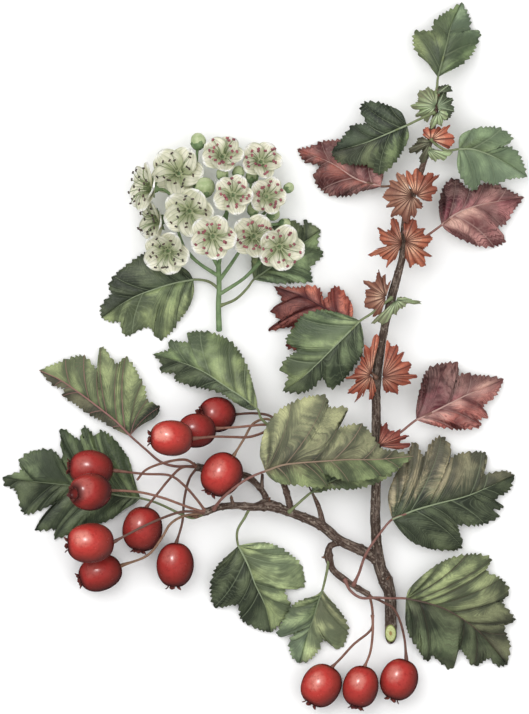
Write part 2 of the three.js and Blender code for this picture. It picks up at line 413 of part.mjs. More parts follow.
function solidOf(positions, indices) {
  const geometry = new THREE.BufferGeometry();
  geometry.setAttribute('position', new THREE.Float32BufferAttribute(positions, 3));
  geometry.setIndex(indices);
  const merged = mergeVertices(geometry, 1e-3);
  const made = new wasm.Manifold(new wasm.Mesh({
    numProp: 3,
    vertProperties: merged.attributes.position.array,
    triVerts: new Uint32Array(merged.index.array),
  }));
  return made;
}

const united = (solids) => solids.reduce((whole, next) => whole.add(next));

// The biggest piece of a solid, without scraps that a cut leaves.
function biggest(solid) {
  const pieces = solid.decompose();
  return pieces.reduce((best, piece) => (piece.volume() > best.volume() ? piece : best));
}

// Points along a smooth curve through a route; a fourth number is carried along as the radius.
function smoothRoute(route, steps, radius, endRadius) {
  const curve = new THREE.CatmullRomCurve3(route.map(vector), false, 'centripetal');
  const last = route.length - 1;
  const points = [];
  for (let i = 0; i <= steps; i += 1) {
    const t = i / steps;
    const at = t * last;
    const k = Math.min(Math.floor(at), last - 1);
    const blend = at - k;
    const eased = blend * blend * (3 - 2 * blend);
    const r = route[0].length > 3
      ? route[k][3] + (route[k + 1][3] - route[k][3]) * eased
      : radius + (endRadius - radius) * t;
    points.push({ point: curve.getPoint(t), radius: r });
  }
  return points;
}

// A solid round limb along a route, with flat ends.
function limb(route, sides, perStretch, radius = 1, endRadius = radius, swell = 0) {
  const points = smoothRoute(route, (route.length - 1) * perStretch, radius, endRadius);
  const positions = [];
  const middles = [];
  const indices = [];
  const up = new THREE.Vector3(0, 0, 1);
  points.forEach(({ point, radius: r }, i) => {
    const before = points[Math.max(i - 1, 0)].point;
    const after = points[Math.min(i + 1, points.length - 1)].point;
    const along = after.clone().sub(before).normalize();
    const outward = i === 0 ? -swell : swell;
    const isEnd = i === 0 || i === points.length - 1;
    const middle = point.clone().addScaledVector(along, isEnd ? outward : 0);
    middles.push(middle);
    const side = along.clone().cross(up).normalize();
    const over = side.clone().cross(along).normalize();
    for (let j = 0; j < sides; j += 1) {
      const angle = (j / sides) * Math.PI * 2;
      const place = middle.clone()
        .addScaledVector(side, Math.cos(angle) * (r + swell))
        .addScaledVector(over, Math.sin(angle) * (r + swell));
      positions.push(place.x, place.y, place.z);
    }
  });
  for (let i = 0; i + 1 < points.length; i += 1) {
    for (let j = 0; j < sides; j += 1) {
      const a = i * sides + j;
      const b = i * sides + ((j + 1) % sides);
      indices.push(a, b, b + sides, a, b + sides, a + sides);
    }
  }
  const start = positions.length / 3;
  const end = start + 1;
  const lastRing = (points.length - 1) * sides;
  positions.push(...middles[0].toArray(), ...middles[middles.length - 1].toArray());
  for (let j = 0; j < sides; j += 1) {
    const next = (j + 1) % sides;
    indices.push(start, next, j, end, lastRing + j, lastRing + next);
  }
  const made = solidOf(positions, indices);
  return made.volume() < 0 ? solidOf(positions, indices.reverse()) : made;
}

// Parameter of the midrib point nearest to a plan point, and the distance to it.
function nearestOnRib(rib, x, y) {
  let best = { t: 0, far: Infinity };
  const samples = 60;
  for (let i = 0; i <= samples; i += 1) {
    const p = rib.getPoint(i / samples);
    const far = Math.hypot(p.x - x, p.y - y);
    if (far < best.far) best = { t: i / samples, far };
  }
  return best;
}

// The facets between a midrib row and a margin row, both from base to tip, as triples of point
// numbers. Each step goes on along one of the two rows; of all the ways to do so the one with the
// shortest cross lines is kept, and a facet that would turn over costs more than any line.
function facetsBetween(plan, ribRow, row, side) {
  const turnedOver = 1e6;
  const areaOf = ([p, q, r]) => side * ((plan[q][0] - plan[p][0]) * (plan[r][1] - plan[p][1])
    - (plan[r][0] - plan[p][0]) * (plan[q][1] - plan[p][1]));
  const best = ribRow.map(() => row.map(() => null));
  best[0][0] = { cost: 0, facet: null, from: null };
  ribRow.forEach((ribId, i) => row.forEach((rowId, j) => {
    const cross = Math.hypot(plan[ribId][0] - plan[rowId][0], plan[ribId][1] - plan[rowId][1]);
    const choices = [];
    if (i > 0) choices.push({ from: best[i - 1][j], facet: [ribRow[i - 1], ribId, rowId] });
    if (j > 0) choices.push({ from: best[i][j - 1], facet: [ribId, rowId, row[j - 1]] });
    choices.forEach((choice) => {
      const cost = choice.from.cost + cross ** 2 + (areaOf(choice.facet) <= 0 ? turnedOver : 0);
      if (!best[i][j] || cost < best[i][j].cost) best[i][j] = { ...choice, cost };
    });
  }));
  const facets = [];
  for (let at = best[ribRow.length - 1][row.length - 1]; at.facet; at = at.from) facets.push(at.facet);
  return facets;
}

// A leaf blade as a thin solid whose mid-surface is a height over its plan outline.
function blade(leaf) {
  const rib = new THREE.CatmullRomCurve3(leaf.rib.map(([x, y]) => new THREE.Vector3(x, y, 0)), false,
    'centripetal');
  const length = rib.getLength();
  const [zBase, zTip, hump, droopA, droopB] = leaf.height;
  const heightAt = (t, share) => {
    const eased = t * t * (3 - 2 * t);
    const z = zBase + (zTip - zBase) * (0.6 * t + 0.4 * eased) + hump * 4 * t * (1 - t) - share;
    const over = z - FLOOR_HEIGHT;
    return FLOOR_HEIGHT + (over + Math.sqrt(over * over + 0.16)) / 2 - 0.1;
  };
  const plan = [];
  const ribRow = [];
  for (let i = 0; i < MIDRIB_STEPS; i += 1) {
    const t = i / (MIDRIB_STEPS - 1);
    const p = rib.getPoint(t);
    ribRow.push(plan.length);
    plan.push([p.x, p.y, heightAt(t, 0)]);
  }
  const count = plan.length + leaf.a.length + leaf.b.length;
  const indices = [];
  [[leaf.a, droopA], [leaf.b, droopB]].forEach(([points, droop]) => {
    const near = points.map(([x, y]) => nearestOnRib(rib, x, y));
    const widest = Math.max(...near.map((p) => p.far));
    const row = points.map(([x, y], k) => {
      plan.push([x, y, heightAt(near[k].t, droop * (near[k].far / widest) ** 2)]);
      return plan.length - 1;
    });
    const loop = [ribRow[0], ...row, ribRow[MIDRIB_STEPS - 1]];
    const twiceArea = [...row].reverse().concat(ribRow).reduce((sum, id, k, ids) => {
      const next = ids[(k + 1) % ids.length];
      return sum + plan[id][0] * plan[next][1] - plan[next][0] * plan[id][1];
    }, 0);
    const side = Math.sign(twiceArea);
    facetsBetween(plan, ribRow, row, side).forEach((facet) => {
      const [p, q, r] = side < 0 ? [facet[0], facet[2], facet[1]] : facet;
      indices.push(p, q, r, p + count, r + count, q + count);
    });
    for (let k = 0; k + 1 < loop.length; k += 1) {
      const [p, q] = side > 0 ? [loop[k + 1], loop[k]] : [loop[k], loop[k + 1]];
      indices.push(p, p + count, q + count, p, q + count, q);
    }
  });
  const positions = [];
  [BLADE_HALF, -BLADE_HALF].forEach((offset) => {
    plan.forEach(([x, y, z]) => positions.push(x, y, z + offset));
  });
  return solidOf(positions, indices);
}

// A stipule: a lobed fan that spreads from its foot out to a rim at one height.
function bract([foot, rimHeight, rim]) {
  const ring = rim.map(([x, y]) => [x, y, rimHeight]);
  const loop = [foot, ...ring];
  const count = loop.length;
  const positions = [];
  [BLADE_HALF, -BLADE_HALF].forEach((offset) => {
    loop.forEach(([x, y, z]) => positions.push(x, y, z + offset));
  });
  const indices = [];
  for (let k = 1; k + 1 < count; k += 1) {
    indices.push(0, k, k + 1, count, count + k + 1, count + k);
  }
  for (let k = 0; k < count; k += 1) {
    const next = (k + 1) % count;
    indices.push(k, k + count, next + count, k, next + count, next);
  }
  const made = solidOf(positions, indices);
  return made.volume() < 0 ? solidOf(positions, indices.reverse()) : made;
}

// A lathed solid whose axis is turned to a direction, with its profile's origin at a place.
function turned(profile, sides, place, direction) {
  const geometry = new THREE.LatheGeometry(profile.map(([r, h]) => new THREE.Vector2(r, h)), sides);
  const aim = new THREE.Quaternion();
  aim.setFromUnitVectors(new THREE.Vector3(0, 1, 0), vector(direction).normalize());
  geometry.applyQuaternion(aim);
  geometry.translate(...place);
  geometry.deleteAttribute('normal');
  geometry.deleteAttribute('uv');
  const merged = mergeVertices(geometry, 1e-3);
  const positions = Array.from(merged.attributes.position.array);
  const indices = [];
  for (let i = 0; i < merged.index.count; i += 3) {
    const [p, q, r] = [0, 1, 2].map((k) => merged.index.getX(i + k));
    if (p !== q && q !== r && r !== p) indices.push(p, q, r);
  }
  const made = solidOf(positions, indices);
  return made.volume() < 0 ? solidOf(positions, indices.reverse()) : made;
}

// A haw: an oval fruit with the dried calyx standing as a low ring on its far end.
function haw([, centre, halfLength, radius, direction]) {
  const profile = [[0, -halfLength]];
  [-66, -42, -16, 12, 38, 60].forEach((degrees) => {
    const a = THREE.MathUtils.degToRad(degrees);
    profile.push([radius * Math.cos(a) ** 0.85, halfLength * Math.sin(a)]);
  });
  profile.push([CALYX_RADIUS, halfLength * 0.97], [CALYX_RADIUS * 1.25, halfLength * 0.97 + CALYX_HEIGHT]);
  profile.push([0, halfLength * 0.97 + CALYX_HEIGHT * 0.4]);
  return turned(profile, HAW_SIDES, centre, direction);
}

// Where a stalk meets its haw.
function poleOf(name) {
  const [, centre, halfLength, , direction] = HAWS.find((entry) => entry[0] === name);
  const axis = vector(direction).normalize();
  return vector(centre).addScaledVector(axis, -(halfLength + POLE_GAP)).toArray();
}

// Where a flower's own stalk starts near its branch tip, and where it bends up below the flower.
function stalkFoot([, centre, , direction, hub]) {
  const axis = vector(direction).normalize();
  const below = vector(centre).addScaledVector(axis, -RECEPTACLE_DEPTH * 1.8);
  const toward = below.clone().sub(vector(hub)).normalize();
  return { below, near: vector(hub).addScaledVector(toward, STUB_REACH - 2 * CLEARANCE), toward };
}

// The short fork from a branch tip toward a flower.
function stub(entry, swell) {
  const hub = vector(entry[4]);
  const tip = hub.clone().addScaledVector(stalkFoot(entry).toward, STUB_REACH);
  return limb([hub.toArray(), tip.toArray()], STALK_SIDES, 1, GREEN_STALK_RADIUS, GREEN_STALK_RADIUS, swell);
}

// An open flower: five cupped petals in one disc, the green cup below and its stalk.
function flower(entry) {
  const [, centre, radius, direction] = entry;
  const sectors = PETAL_COUNT * PETAL_SECTORS;
  const axis = vector(direction).normalize();
  const aim = new THREE.Quaternion().setFromUnitVectors(new THREE.Vector3(0, 0, 1), axis);
  const reach = (j) => {
    const phase = (j % PETAL_SECTORS) / PETAL_SECTORS;
    return radius * (0.62 + 0.38 * Math.sin(Math.PI * phase) ** 0.6);
  };
  const plan = [[0, 0, 0]];
  [0.55, 1].forEach((share) => {
    for (let j = 0; j < sectors; j += 1) {
      const angle = (j / sectors) * Math.PI * 2;
      const r = reach(j) * share;
      plan.push([r * Math.cos(angle), r * Math.sin(angle), PETAL_CUP * radius * (r / radius) ** 2]);
    }
  });
  const count = plan.length;
  const positions = [];
  [PETAL_HALF, -PETAL_HALF].forEach((offset) => {
    plan.forEach(([x, y, z]) => {
      const place = new THREE.Vector3(x, y, z + offset).applyQuaternion(aim).add(vector(centre));
      positions.push(place.x, place.y, place.z);
    });
  });
  const indices = [];
  for (let j = 0; j < sectors; j += 1) {
    const next = (j + 1) % sectors;
    const [a, b, c, d] = [1 + j, 1 + next, 1 + sectors + j, 1 + sectors + next];
    indices.push(0, a, b, a, c, d, a, d, b);
    indices.push(...[0, b, a, a, d, c, a, b, d].map((k) => k + count));
    indices.push(c, c + count, d + count, c, d + count, d);
  }
  const disc = solidOf(positions, indices);
  const cup = turned([[0, -RECEPTACLE_DEPTH], [RECEPTACLE_RADIUS * 0.6, -RECEPTACLE_DEPTH * 0.8],
    [RECEPTACLE_RADIUS, 0], [RECEPTACLE_RADIUS * 0.5, 0.9], [0, 1]], BUD_SIDES, centre, direction);
  const foot = vector(centre).addScaledVector(axis, -RECEPTACLE_DEPTH * 0.8);
  const { below, near } = stalkFoot(entry);
  const stalk = limb([near, below, foot].map((p) => p.toArray()), STALK_SIDES, 2, GREEN_STALK_RADIUS);
  return united([disc, cup, stalk]);
}

// ---- Assembly ----
const wood = {
  main_stem: [[MAIN_STEM], WOOD_SIDES, 1],
  side_bough: [[SIDE_BOUGH, BOUGH_BUD], WOOD_SIDES - 1, 1],
  thorn: [[THORN], STALK_SIDES, 1],
  mid_spur: [[MID_SPUR], STALK_SIDES + 2, 1],
  left_spur: [[LEFT_SPUR, LEFT_SPUR_STUB], STALK_SIDES + 2, 1],
  loop_spur: [[LOOP_SPUR], STALK_SIDES + 2, 1],
};
const BARK = 0x6b5a4c;
const solids = [];
const clearOf = [];
Object.entries(wood).forEach(([name, [routes, sides, steps]]) => {
  let solid = united(routes.map((route) => limb(route, sides, steps)));
  let cover = united(routes.map((route) => limb(route, sides, steps, 1, 1, CLEARANCE)));
  if (name === 'main_stem') {
    const facing = vector(CUT_TILT).normalize();
    const away = facing.clone().negate();
    solid = solid.trimByPlane(away.toArray(), away.dot(vector(CUT_CENTRE)));
    cover = cover.trimByPlane(away.toArray(), away.dot(vector(CUT_CENTRE)) - CLEARANCE);
  }
  clearOf.forEach((other) => {
    solid = solid.subtract(other);
  });
  solids.push([name, biggest(solid), BARK, 0.9]);
  clearOf.push(cover);
});
const woodCover = united(clearOf);

const stalkCovers = [];
STALK_CLUSTERS.forEach(([name, stalks]) => {
  const build = (swell) => united(stalks.map(([route, end]) => limb(
    end ? [...route, poleOf(end)] : route, STALK_SIDES, 1, HAW_STALK_RADIUS, HAW_STALK_RADIUS * 0.9, swell)));
  solids.push([name, biggest(build(0).subtract(woodCover)), 0x8a4a3c, 0.7]);
  stalkCovers.push(build(CLEARANCE));
});
HAWS.forEach((entry) => solids.push([entry[0], haw(entry), 0xb3201f, 0.3]));

const sprig = united([
  ...SPRIG_BRANCHES.map((route) => limb(route, STALK_SIDES + 1, 1)),
  ...FLOWERS.map((entry) => stub(entry, 0)),
  ...BUDS.flatMap(([centre, radius, hub]) => {
    const axis = vector(centre).sub(vector(hub)).normalize();
    return [
      turned([[0, -radius], [radius * 0.75, -radius * 0.6], [radius, 0.1 * radius],
        [radius * 0.7, radius * 0.75], [0, radius * 1.05]], BUD_SIDES, centre, axis.toArray()),
      limb([hub, centre], STALK_SIDES, 1, GREEN_STALK_RADIUS),
    ];
  }),
]);
const sprigCover = united([
  ...SPRIG_BRANCHES.map((route) => limb(route, STALK_SIDES + 1, 1, 1, 1, CLEARANCE)),
  ...FLOWERS.map((entry) => stub(entry, CLEARANCE)),
  ...BUDS.map(([centre, , hub]) => limb([hub, centre], STALK_SIDES, 1, GREEN_STALK_RADIUS,
    GREEN_STALK_RADIUS, CLEARANCE)),
]);
solids.push(['flower_stalk', sprig, 0x7f9a4a, 0.6]);
FLOWERS.forEach((entry) => {
  solids.push([entry[0], biggest(flower(entry).subtract(sprigCover)), 0xf4f1e6, 0.5]);
});

const cover = united([woodCover, sprigCover, ...stalkCovers]);
LEAVES.forEach((leaf) => {
  const ribInside = new THREE.Vector3(...leaf.rib[1], 0).lerp(new THREE.Vector3(...leaf.rib[0], 0), 0.6);
  const route = [...leaf.stalk, [ribInside.x, ribInside.y, leaf.height[0]]];
  const petiole = limb(route, STALK_SIDES, 1, PETIOLE_RADIUS, PETIOLE_RADIUS * 0.7);
  const whole = united([blade(leaf), petiole, ...leaf.bracts.map(bract)]);
  solids.push([leaf.name, biggest(whole.subtract(cover)), leaf.colour, 0.6]);
});

// The origin is the middle of the underside of the box round everything.
const low = new THREE.Vector3(Infinity, Infinity, Infinity);
const high = low.clone().negate();
solids.forEach(([, solid]) => {
  const box = solid.boundingBox();
  low.min(vector(box.min));
  high.max(vector(box.max));
});
export const shift = [-(low.x + high.x) / 2, -(low.y + high.y) / 2, -low.z];

const group = new THREE.Group();
solids.forEach(([name, solid, colour, roughness]) => {
  const mesh = solid.translate(shift).getMesh();
  const geometry = new THREE.BufferGeometry();
  geometry.setAttribute('position', new THREE.Float32BufferAttribute(Array.from(mesh.vertProperties), 3));
  geometry.setIndex(Array.from(mesh.triVerts));
  geometry.computeVertexNormals();
  const material = new THREE.MeshStandardMaterial({ color: colour, roughness, metalness: 0 });
  const part = new THREE.Mesh(geometry, material);
  part.name = name;
  group.add(part);
});

export default group;
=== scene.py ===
"""Dresses the hawthorn cuttings: bark, leaves with veins and teeth, bracts, haws and blossom."""

import functools
import math

import bpy
import numpy as np
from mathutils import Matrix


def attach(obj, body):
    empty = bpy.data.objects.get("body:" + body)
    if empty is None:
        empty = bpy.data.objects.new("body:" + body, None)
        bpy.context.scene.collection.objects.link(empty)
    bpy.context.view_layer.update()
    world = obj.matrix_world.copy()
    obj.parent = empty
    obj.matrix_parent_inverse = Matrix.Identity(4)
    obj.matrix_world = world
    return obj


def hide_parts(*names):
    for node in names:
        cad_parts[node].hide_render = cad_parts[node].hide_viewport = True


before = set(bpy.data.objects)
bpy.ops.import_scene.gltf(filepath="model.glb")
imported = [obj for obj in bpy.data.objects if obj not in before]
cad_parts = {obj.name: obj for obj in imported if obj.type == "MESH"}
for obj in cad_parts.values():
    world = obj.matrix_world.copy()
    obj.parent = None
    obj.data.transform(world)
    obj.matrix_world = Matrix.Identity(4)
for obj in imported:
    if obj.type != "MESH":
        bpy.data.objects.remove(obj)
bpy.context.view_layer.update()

bl_info = {
    "name": "Hawthorn cuttings",
    "version": (1, 0, 0),
    "blender": (4, 5, 0),
    "location": "View3D > Sidebar > Hawthorn",
    "description": "Builds a fruiting hawthorn branch and a flowering sprig round their packed solids",
    "category": "Add Mesh",
}

MM = 0.001
# From the plan that the tables below use to the frame, in millimetres.
PLAN_TO_FRAME = np.array([0.1, 0.1451, 0.0092])
SEED = 7
UPWARD = (0, 0, 1.0)
# The way to the light from which the haws' painted light and shade are laid.
SUN = (-0.28, 0.3, 0.92)
# The least height of a blade's middle surface, how softly it comes down to that, and the least height
# of any point, in millimetres.
FLOOR_HEIGHT = 0.3
FLOOR_SOFTNESS = 0.4
LIFT_OFF_FLOOR = 0.02
# The floor's half side in metres, and the camera's sensor and the plan point under it in millimetres.
FLOOR_HALF = 3.0
SENSOR_WIDTH = 36
VIEW_CENTRE = (-0.15, -0.3)
PLANT_MIDDLE = 9.0
# Length of a limb's rounded tip, as a share of its radius.
TIP_LENGTH = 0.6

# ---- Wood: each route is a list of x, y, z and radius, in millimetres ----
MAIN_STEM = [
    [37.9, -89, 2.1, 1.75], [37.5, -71.4, 3.2, 1.75], [36.3, -67.6, 3.9, 2.15], [34.6, -63.5, 4.8, 1.8],
    [33.2, -51.3, 6.4, 1.5], [33.4, -35, 7.3, 1.4], [33.4, -26, 8, 1.45], [33.4, -10, 8.9, 1.3],
    [33.8, -4, 9, 1.4], [35.7, 7.8, 9, 1.2], [38, 17.5, 9, 1.35], [41.2, 30, 9, 1.05], [41.8, 37, 9, 1.2],
    [42.4, 43, 9, 0.95], [45, 50, 8.7, 1.05], [48.2, 60, 8.7, 0.8], [49.7, 65.5, 8.8, 0.95],
    [51.1, 73, 9, 0.75], [51.6, 77.5, 9.4, 0.65],
]
SIDE_BOUGH = [
    [33.5, -61, 4.8, 1.7], [30, -58.8, 6, 1.6], [22.2, -55.2, 7, 1.45], [17.1, -51, 7.5, 1.5],
    [7.8, -47, 8, 1.3], [1, -44.8, 8, 1.7], [-3.6, -45.3, 8, 1.2], [-8.7, -44.9, 8, 1.05],
    [-13.8, -45.4, 8, 1], [-18.5, -47, 7.7, 1.1],
]
BOUGH_BUD = [[-9.5, -45, 8.2, 0.7], [-10, -43.1, 8.7, 0.5]]
THORN = [[17.5, -51, 7.5, 0.95], [16, -45, 6.4, 0.7], [13.3, -39.4, 5, 0.22]]
MID_SPUR = [
    [8, -47, 8, 1.1], [6.5, -41, 8.4, 0.95], [5, -36, 8.8, 0.9], [3.5, -29, 9, 0.9], [3.6, -23.5, 9, 1],
    [4.5, -20.5, 9.2, 1.25],
]
LEFT_SPUR = [
    [1, -44.8, 7.6, 1.1], [-0.5, -41, 6, 0.9], [-2.5, -38.5, 4.9, 0.95], [-5, -36.4, 3.7, 1.1],
    [-9, -35.3, 2.5, 0.8], [-13, -34.7, 2.1, 0.8], [-17, -34.2, 3.2, 0.85], [-20.3, -33.4, 4.6, 1.2],
]
LEFT_SPUR_STUB = [[-1, -40, 5.7, 0.6], [-0.8, -35.6, 6.4, 0.45]]
LOOP_SPUR = [
    [22.4, -55.8, 6.8, 1], [19.5, -57.3, 5.6, 0.95], [19.1, -60.2, 4.9, 1.3], [20.4, -64.2, 4.3, 0.95],
    [23.1, -66.6, 4, 1.05], [26.4, -68.9, 4, 0.85], [31, -71.6, 4.1, 0.9],
]
CUT_TILT = [0.03, -0.53, 0.85]
CUT_CENTRE = [37.8, -83.4, 2.45]
CUT_HALF_WIDTH = 1.72
CUT_HALF_LENGTH = 3.3
# Units of the bark's cracks to a millimetre round a limb and along it: a crack is one unit wide and
# one long, so cracks run lengthwise, about 3 mm long and 0.5 mm wide.
CRACKS_ROUND = 2.2
CRACKS_ALONG = 0.35
# Each limb: its node, its sides, how strong its knots are, and its routes with how young their bark is.
LIMBS = [
    ("main_stem", 40, 0.4, [(MAIN_STEM, 0.0)]),
    ("side_bough", 28, 1.1, [(SIDE_BOUGH, 0.15), (BOUGH_BUD, 0.8)]),
    ("thorn", 16, 0.4, [(THORN, 0.6)]),
    ("mid_spur", 22, 1.1, [(MID_SPUR, 0.35)]),
    ("left_spur", 22, 1.1, [(LEFT_SPUR, 0.35), (LEFT_SPUR_STUB, 0.5)]),
    ("loop_spur", 22, 1.1, [(LOOP_SPUR, 0.35)]),
]
# Foot, direction and length of each bud on the wood, in millimetres.
WOOD_BUDS = [
    [[-19, -47.2, 7.7], [-1, -0.35, -0.1], 3.4], [[-9.9, -43.6, 8.6], [-0.2, 1, 0.2], 1.8],
    [[4.6, -20.3, 9.4], [0.3, 1, 0.3], 1.8], [[-20.6, -33.2, 4.8], [-0.6, 0.8, 0.2], 1.6],
    [[36.6, -67.2, 6.2], [0.5, 0.6, 0.6], 1.6], [[35.5, -26.6, 8.2], [0.9, 0.5, 0.2], 1.8],
    [[1.2, -43.6, 8.8], [0.2, 0.9, 0.5], 1.4], [[18.4, -60.4, 5.4], [-1, -0.1, 0.2], 1.5],
    [[51.8, 78, 9.6], [0.1, 1, 0.1], 2.2],
]

# ---- Tints of living and autumn tissue, some lighter or darker for painted light and shade, in sRGB hex ----
TINTS = {
    "night_green": "353f32", "ink_green": "3d4635", "deep_green": "474f3c", "shade_olive": "4b4b3e",
    "moss": "56624a", "leaf_green": "62704f", "fern": "6a7b58", "soft_green": "737e5a",
    "spring_green": "808b65", "grey_sage": "748668", "light_sage": "83957a", "sunlit_sage": "9dac83",
    "olive": "62634e", "dull_olive": "5a5a45", "straw_green": "8f9270", "pale_lobe": "8c826d",
    "maroon": "522c2d", "plum": "4e282d", "garnet": "643a38", "brick": "8c4d43",
    "wine": "7c444c", "dusk_rose": "8b5c5a", "rose": "936965", "ember": "985750",
    "coral": "c06c58", "pink_bloom": "a97f78", "blush": "bd9488",
    "pale_vein": "8d997a", "dim_vein": "737e61", "tan_vein": "94806c", "rosy_vein": "b8978e",
    "umber_vein": "5a4a42", "madder_vein": "9a706a",
    "green_stalk": "77825a", "brown_stalk": "7a5c4c", "rosy_stalk": "875f56",
}
# Haw stalks take these in turn.
STALK_TINTS = ("7d574a", "8b6354", "6b4b41", "8a6c56")
# Stipules: body, rim and rib tints by kind.
STIPULE_TINTS = {
    "pale_fan": ("acb894", "8f9c76", "6c7a5c"), "dark_fan": ("67735c", "414b38", "93a281"),
    "green_brown_fan": ("83866c", "595a47", "4e4c3e"), "brown_fan": ("bf9c86", "936552", "5e3c30"),
    "orange_fan": ("d4a48a", "a9624b", "60382c"), "red_fan": ("ca9880", "a65c48", "60342a"),
    "crimson_fan": ("c48472", "8c4a40", "562c28"),
}

# ---- Haws: centre, half length, radius, the direction from stalk to calyx and how deep the red is ----
HAWS = [
    ["haw_1", [-52.2, -33.8, 8.2], 6.7, 5.6, [-1, 0.08, 0], 0.7],
    ["haw_2", [-52.2, -40.6, 17.6], 6.8, 5.6, [-0.72, -0.06, 0.69], 0.7],
    ["haw_3", [-52.3, -56, 13.4], 7.1, 6.1, [-1, -0.05, 0], 0.05],
    ["haw_4", [-49.5, -65.2, 5.45], 6.6, 5.4, [-0.94, -0.33, 0], 0.7],
    ["haw_5", [-36.8, -52, 6.05], 6.7, 6, [-0.17, -0.98, 0], 0.5],
    ["haw_6", [-27, -62.8, 5.65], 6.7, 5.6, [-0.05, -1, 0], 0.55],
    ["haw_7", [-27.9, -24.5, 22.1], 6.5, 5.4, [-1, 0.02, 0], 0],
    ["haw_8", [-20.4, -22.3, 13.6], 5.7, 5.2, [-0.97, -0.1, 0.2], 0.9],
    ["haw_9", [-14.4, -17.6, 5.4], 5.6, 5.3, [-0.9, 0, 0.43], 0.8],
    ["haw_10", [-13, -35.5, 10.2], 6.7, 6.1, [-0.54, -0.84, 0], 0.1],
    ["haw_11", [16.9, -99, 6.1], 6.5, 6, [-0.5, -0.86, 0], 0.1],
    ["haw_12", [28.7, -99.3, 6.9], 6.3, 5.4, [-0.2, -0.98, 0], 0.25],
    ["haw_13", [40.3, -97.2, 5.7], 6.3, 5.6, [-0.35, -0.93, 0], 0.3],
]
STALK_CLUSTERS = [
    ["stalks_foot", [
        [[[31.4, -71.9, 4.2], [32.1, -75, 4.4], [32.4, -78.5, 4.6], [32, -82, 4.7], [26.6, -86.7, 5.2],
          [22.6, -91, 5.8]], "haw_11"],
        [[[32.3, -78, 4.6], [32.4, -82.5, 5], [31.6, -89, 6.4]], "haw_12"],
        [[[31.6, -72.4, 4.3], [34, -73.2, 5.3], [36, -74.2, 6.9], [38.2, -75.4, 7.1], [40, -78.2, 6.7],
          [41.8, -84.4, 6.1]], "haw_13"],
    ]],
    ["stalks_bough_tip", [
        [[[-18, -46.4, 8.4], [-20.5, -43, 8.9], [-24.5, -38.6, 8.8], [-28.4, -35.9, 8.6],
          [-36, -35.4, 8.3]], "haw_1"],
        [[[-18.4, -46.8, 8.4], [-22.8, -45.4, 10], [-30.9, -42.4, 12.4], [-38.1, -40.7, 13]], "haw_2"],
        [[[-18.4, -46.9, 8.4], [-24.9, -46.7, 10.6], [-30.9, -48.6, 12.8], [-38, -51.8, 13.5]], "haw_3"],
        [[[-18.4, -47, 8], [-24.9, -48.2, 8.8], [-28.4, -50.4, 9.6], [-31, -54.6, 10],
          [-35, -59.6, 9.6]], "haw_4"],
    ]],
    ["stalks_left_spur", [
        [[[-20.3, -33.4, 4.9], [-24.9, -33.5, 5], [-28.4, -36.6, 5.2], [-32, -41, 5.5]], "haw_5"],
        [[[-20.3, -33.4, 4.9], [-23.7, -31.2, 6.4], [-30.5, -32.1, 7], [-36, -34.4, 5.2],
          [-38.4, -37.2, 4.6]], None],
        [[[-20.3, -33.5, 4.6], [-22.6, -36.6, 4.2], [-24.2, -42.6, 4], [-24.9, -50.1, 4.4]], "haw_6"],
    ]],
    ["stalks_mid_spur", [
        [[[4.2, -20.8, 9.4], [0.3, -22.6, 10.6], [-4.5, -24.2, 13.2], [-10, -24.2, 16.6],
          [-15.5, -24.1, 20]], "haw_7"],
        [[[4.2, -20.5, 9.4], [-1, -20.6, 10.2], [-7, -21.2, 11.6]], "haw_8"],
        [[[4.2, -20.4, 9.4], [1.5, -18, 9], [-3, -17.2, 7.6]], "haw_9"],
        [[[4, -20.5, 9.2], [0.5, -18.9, 9.2], [-3.4, -20.2, 9.2], [-6.4, -25, 9.6]], "haw_10"],
    ]],
]
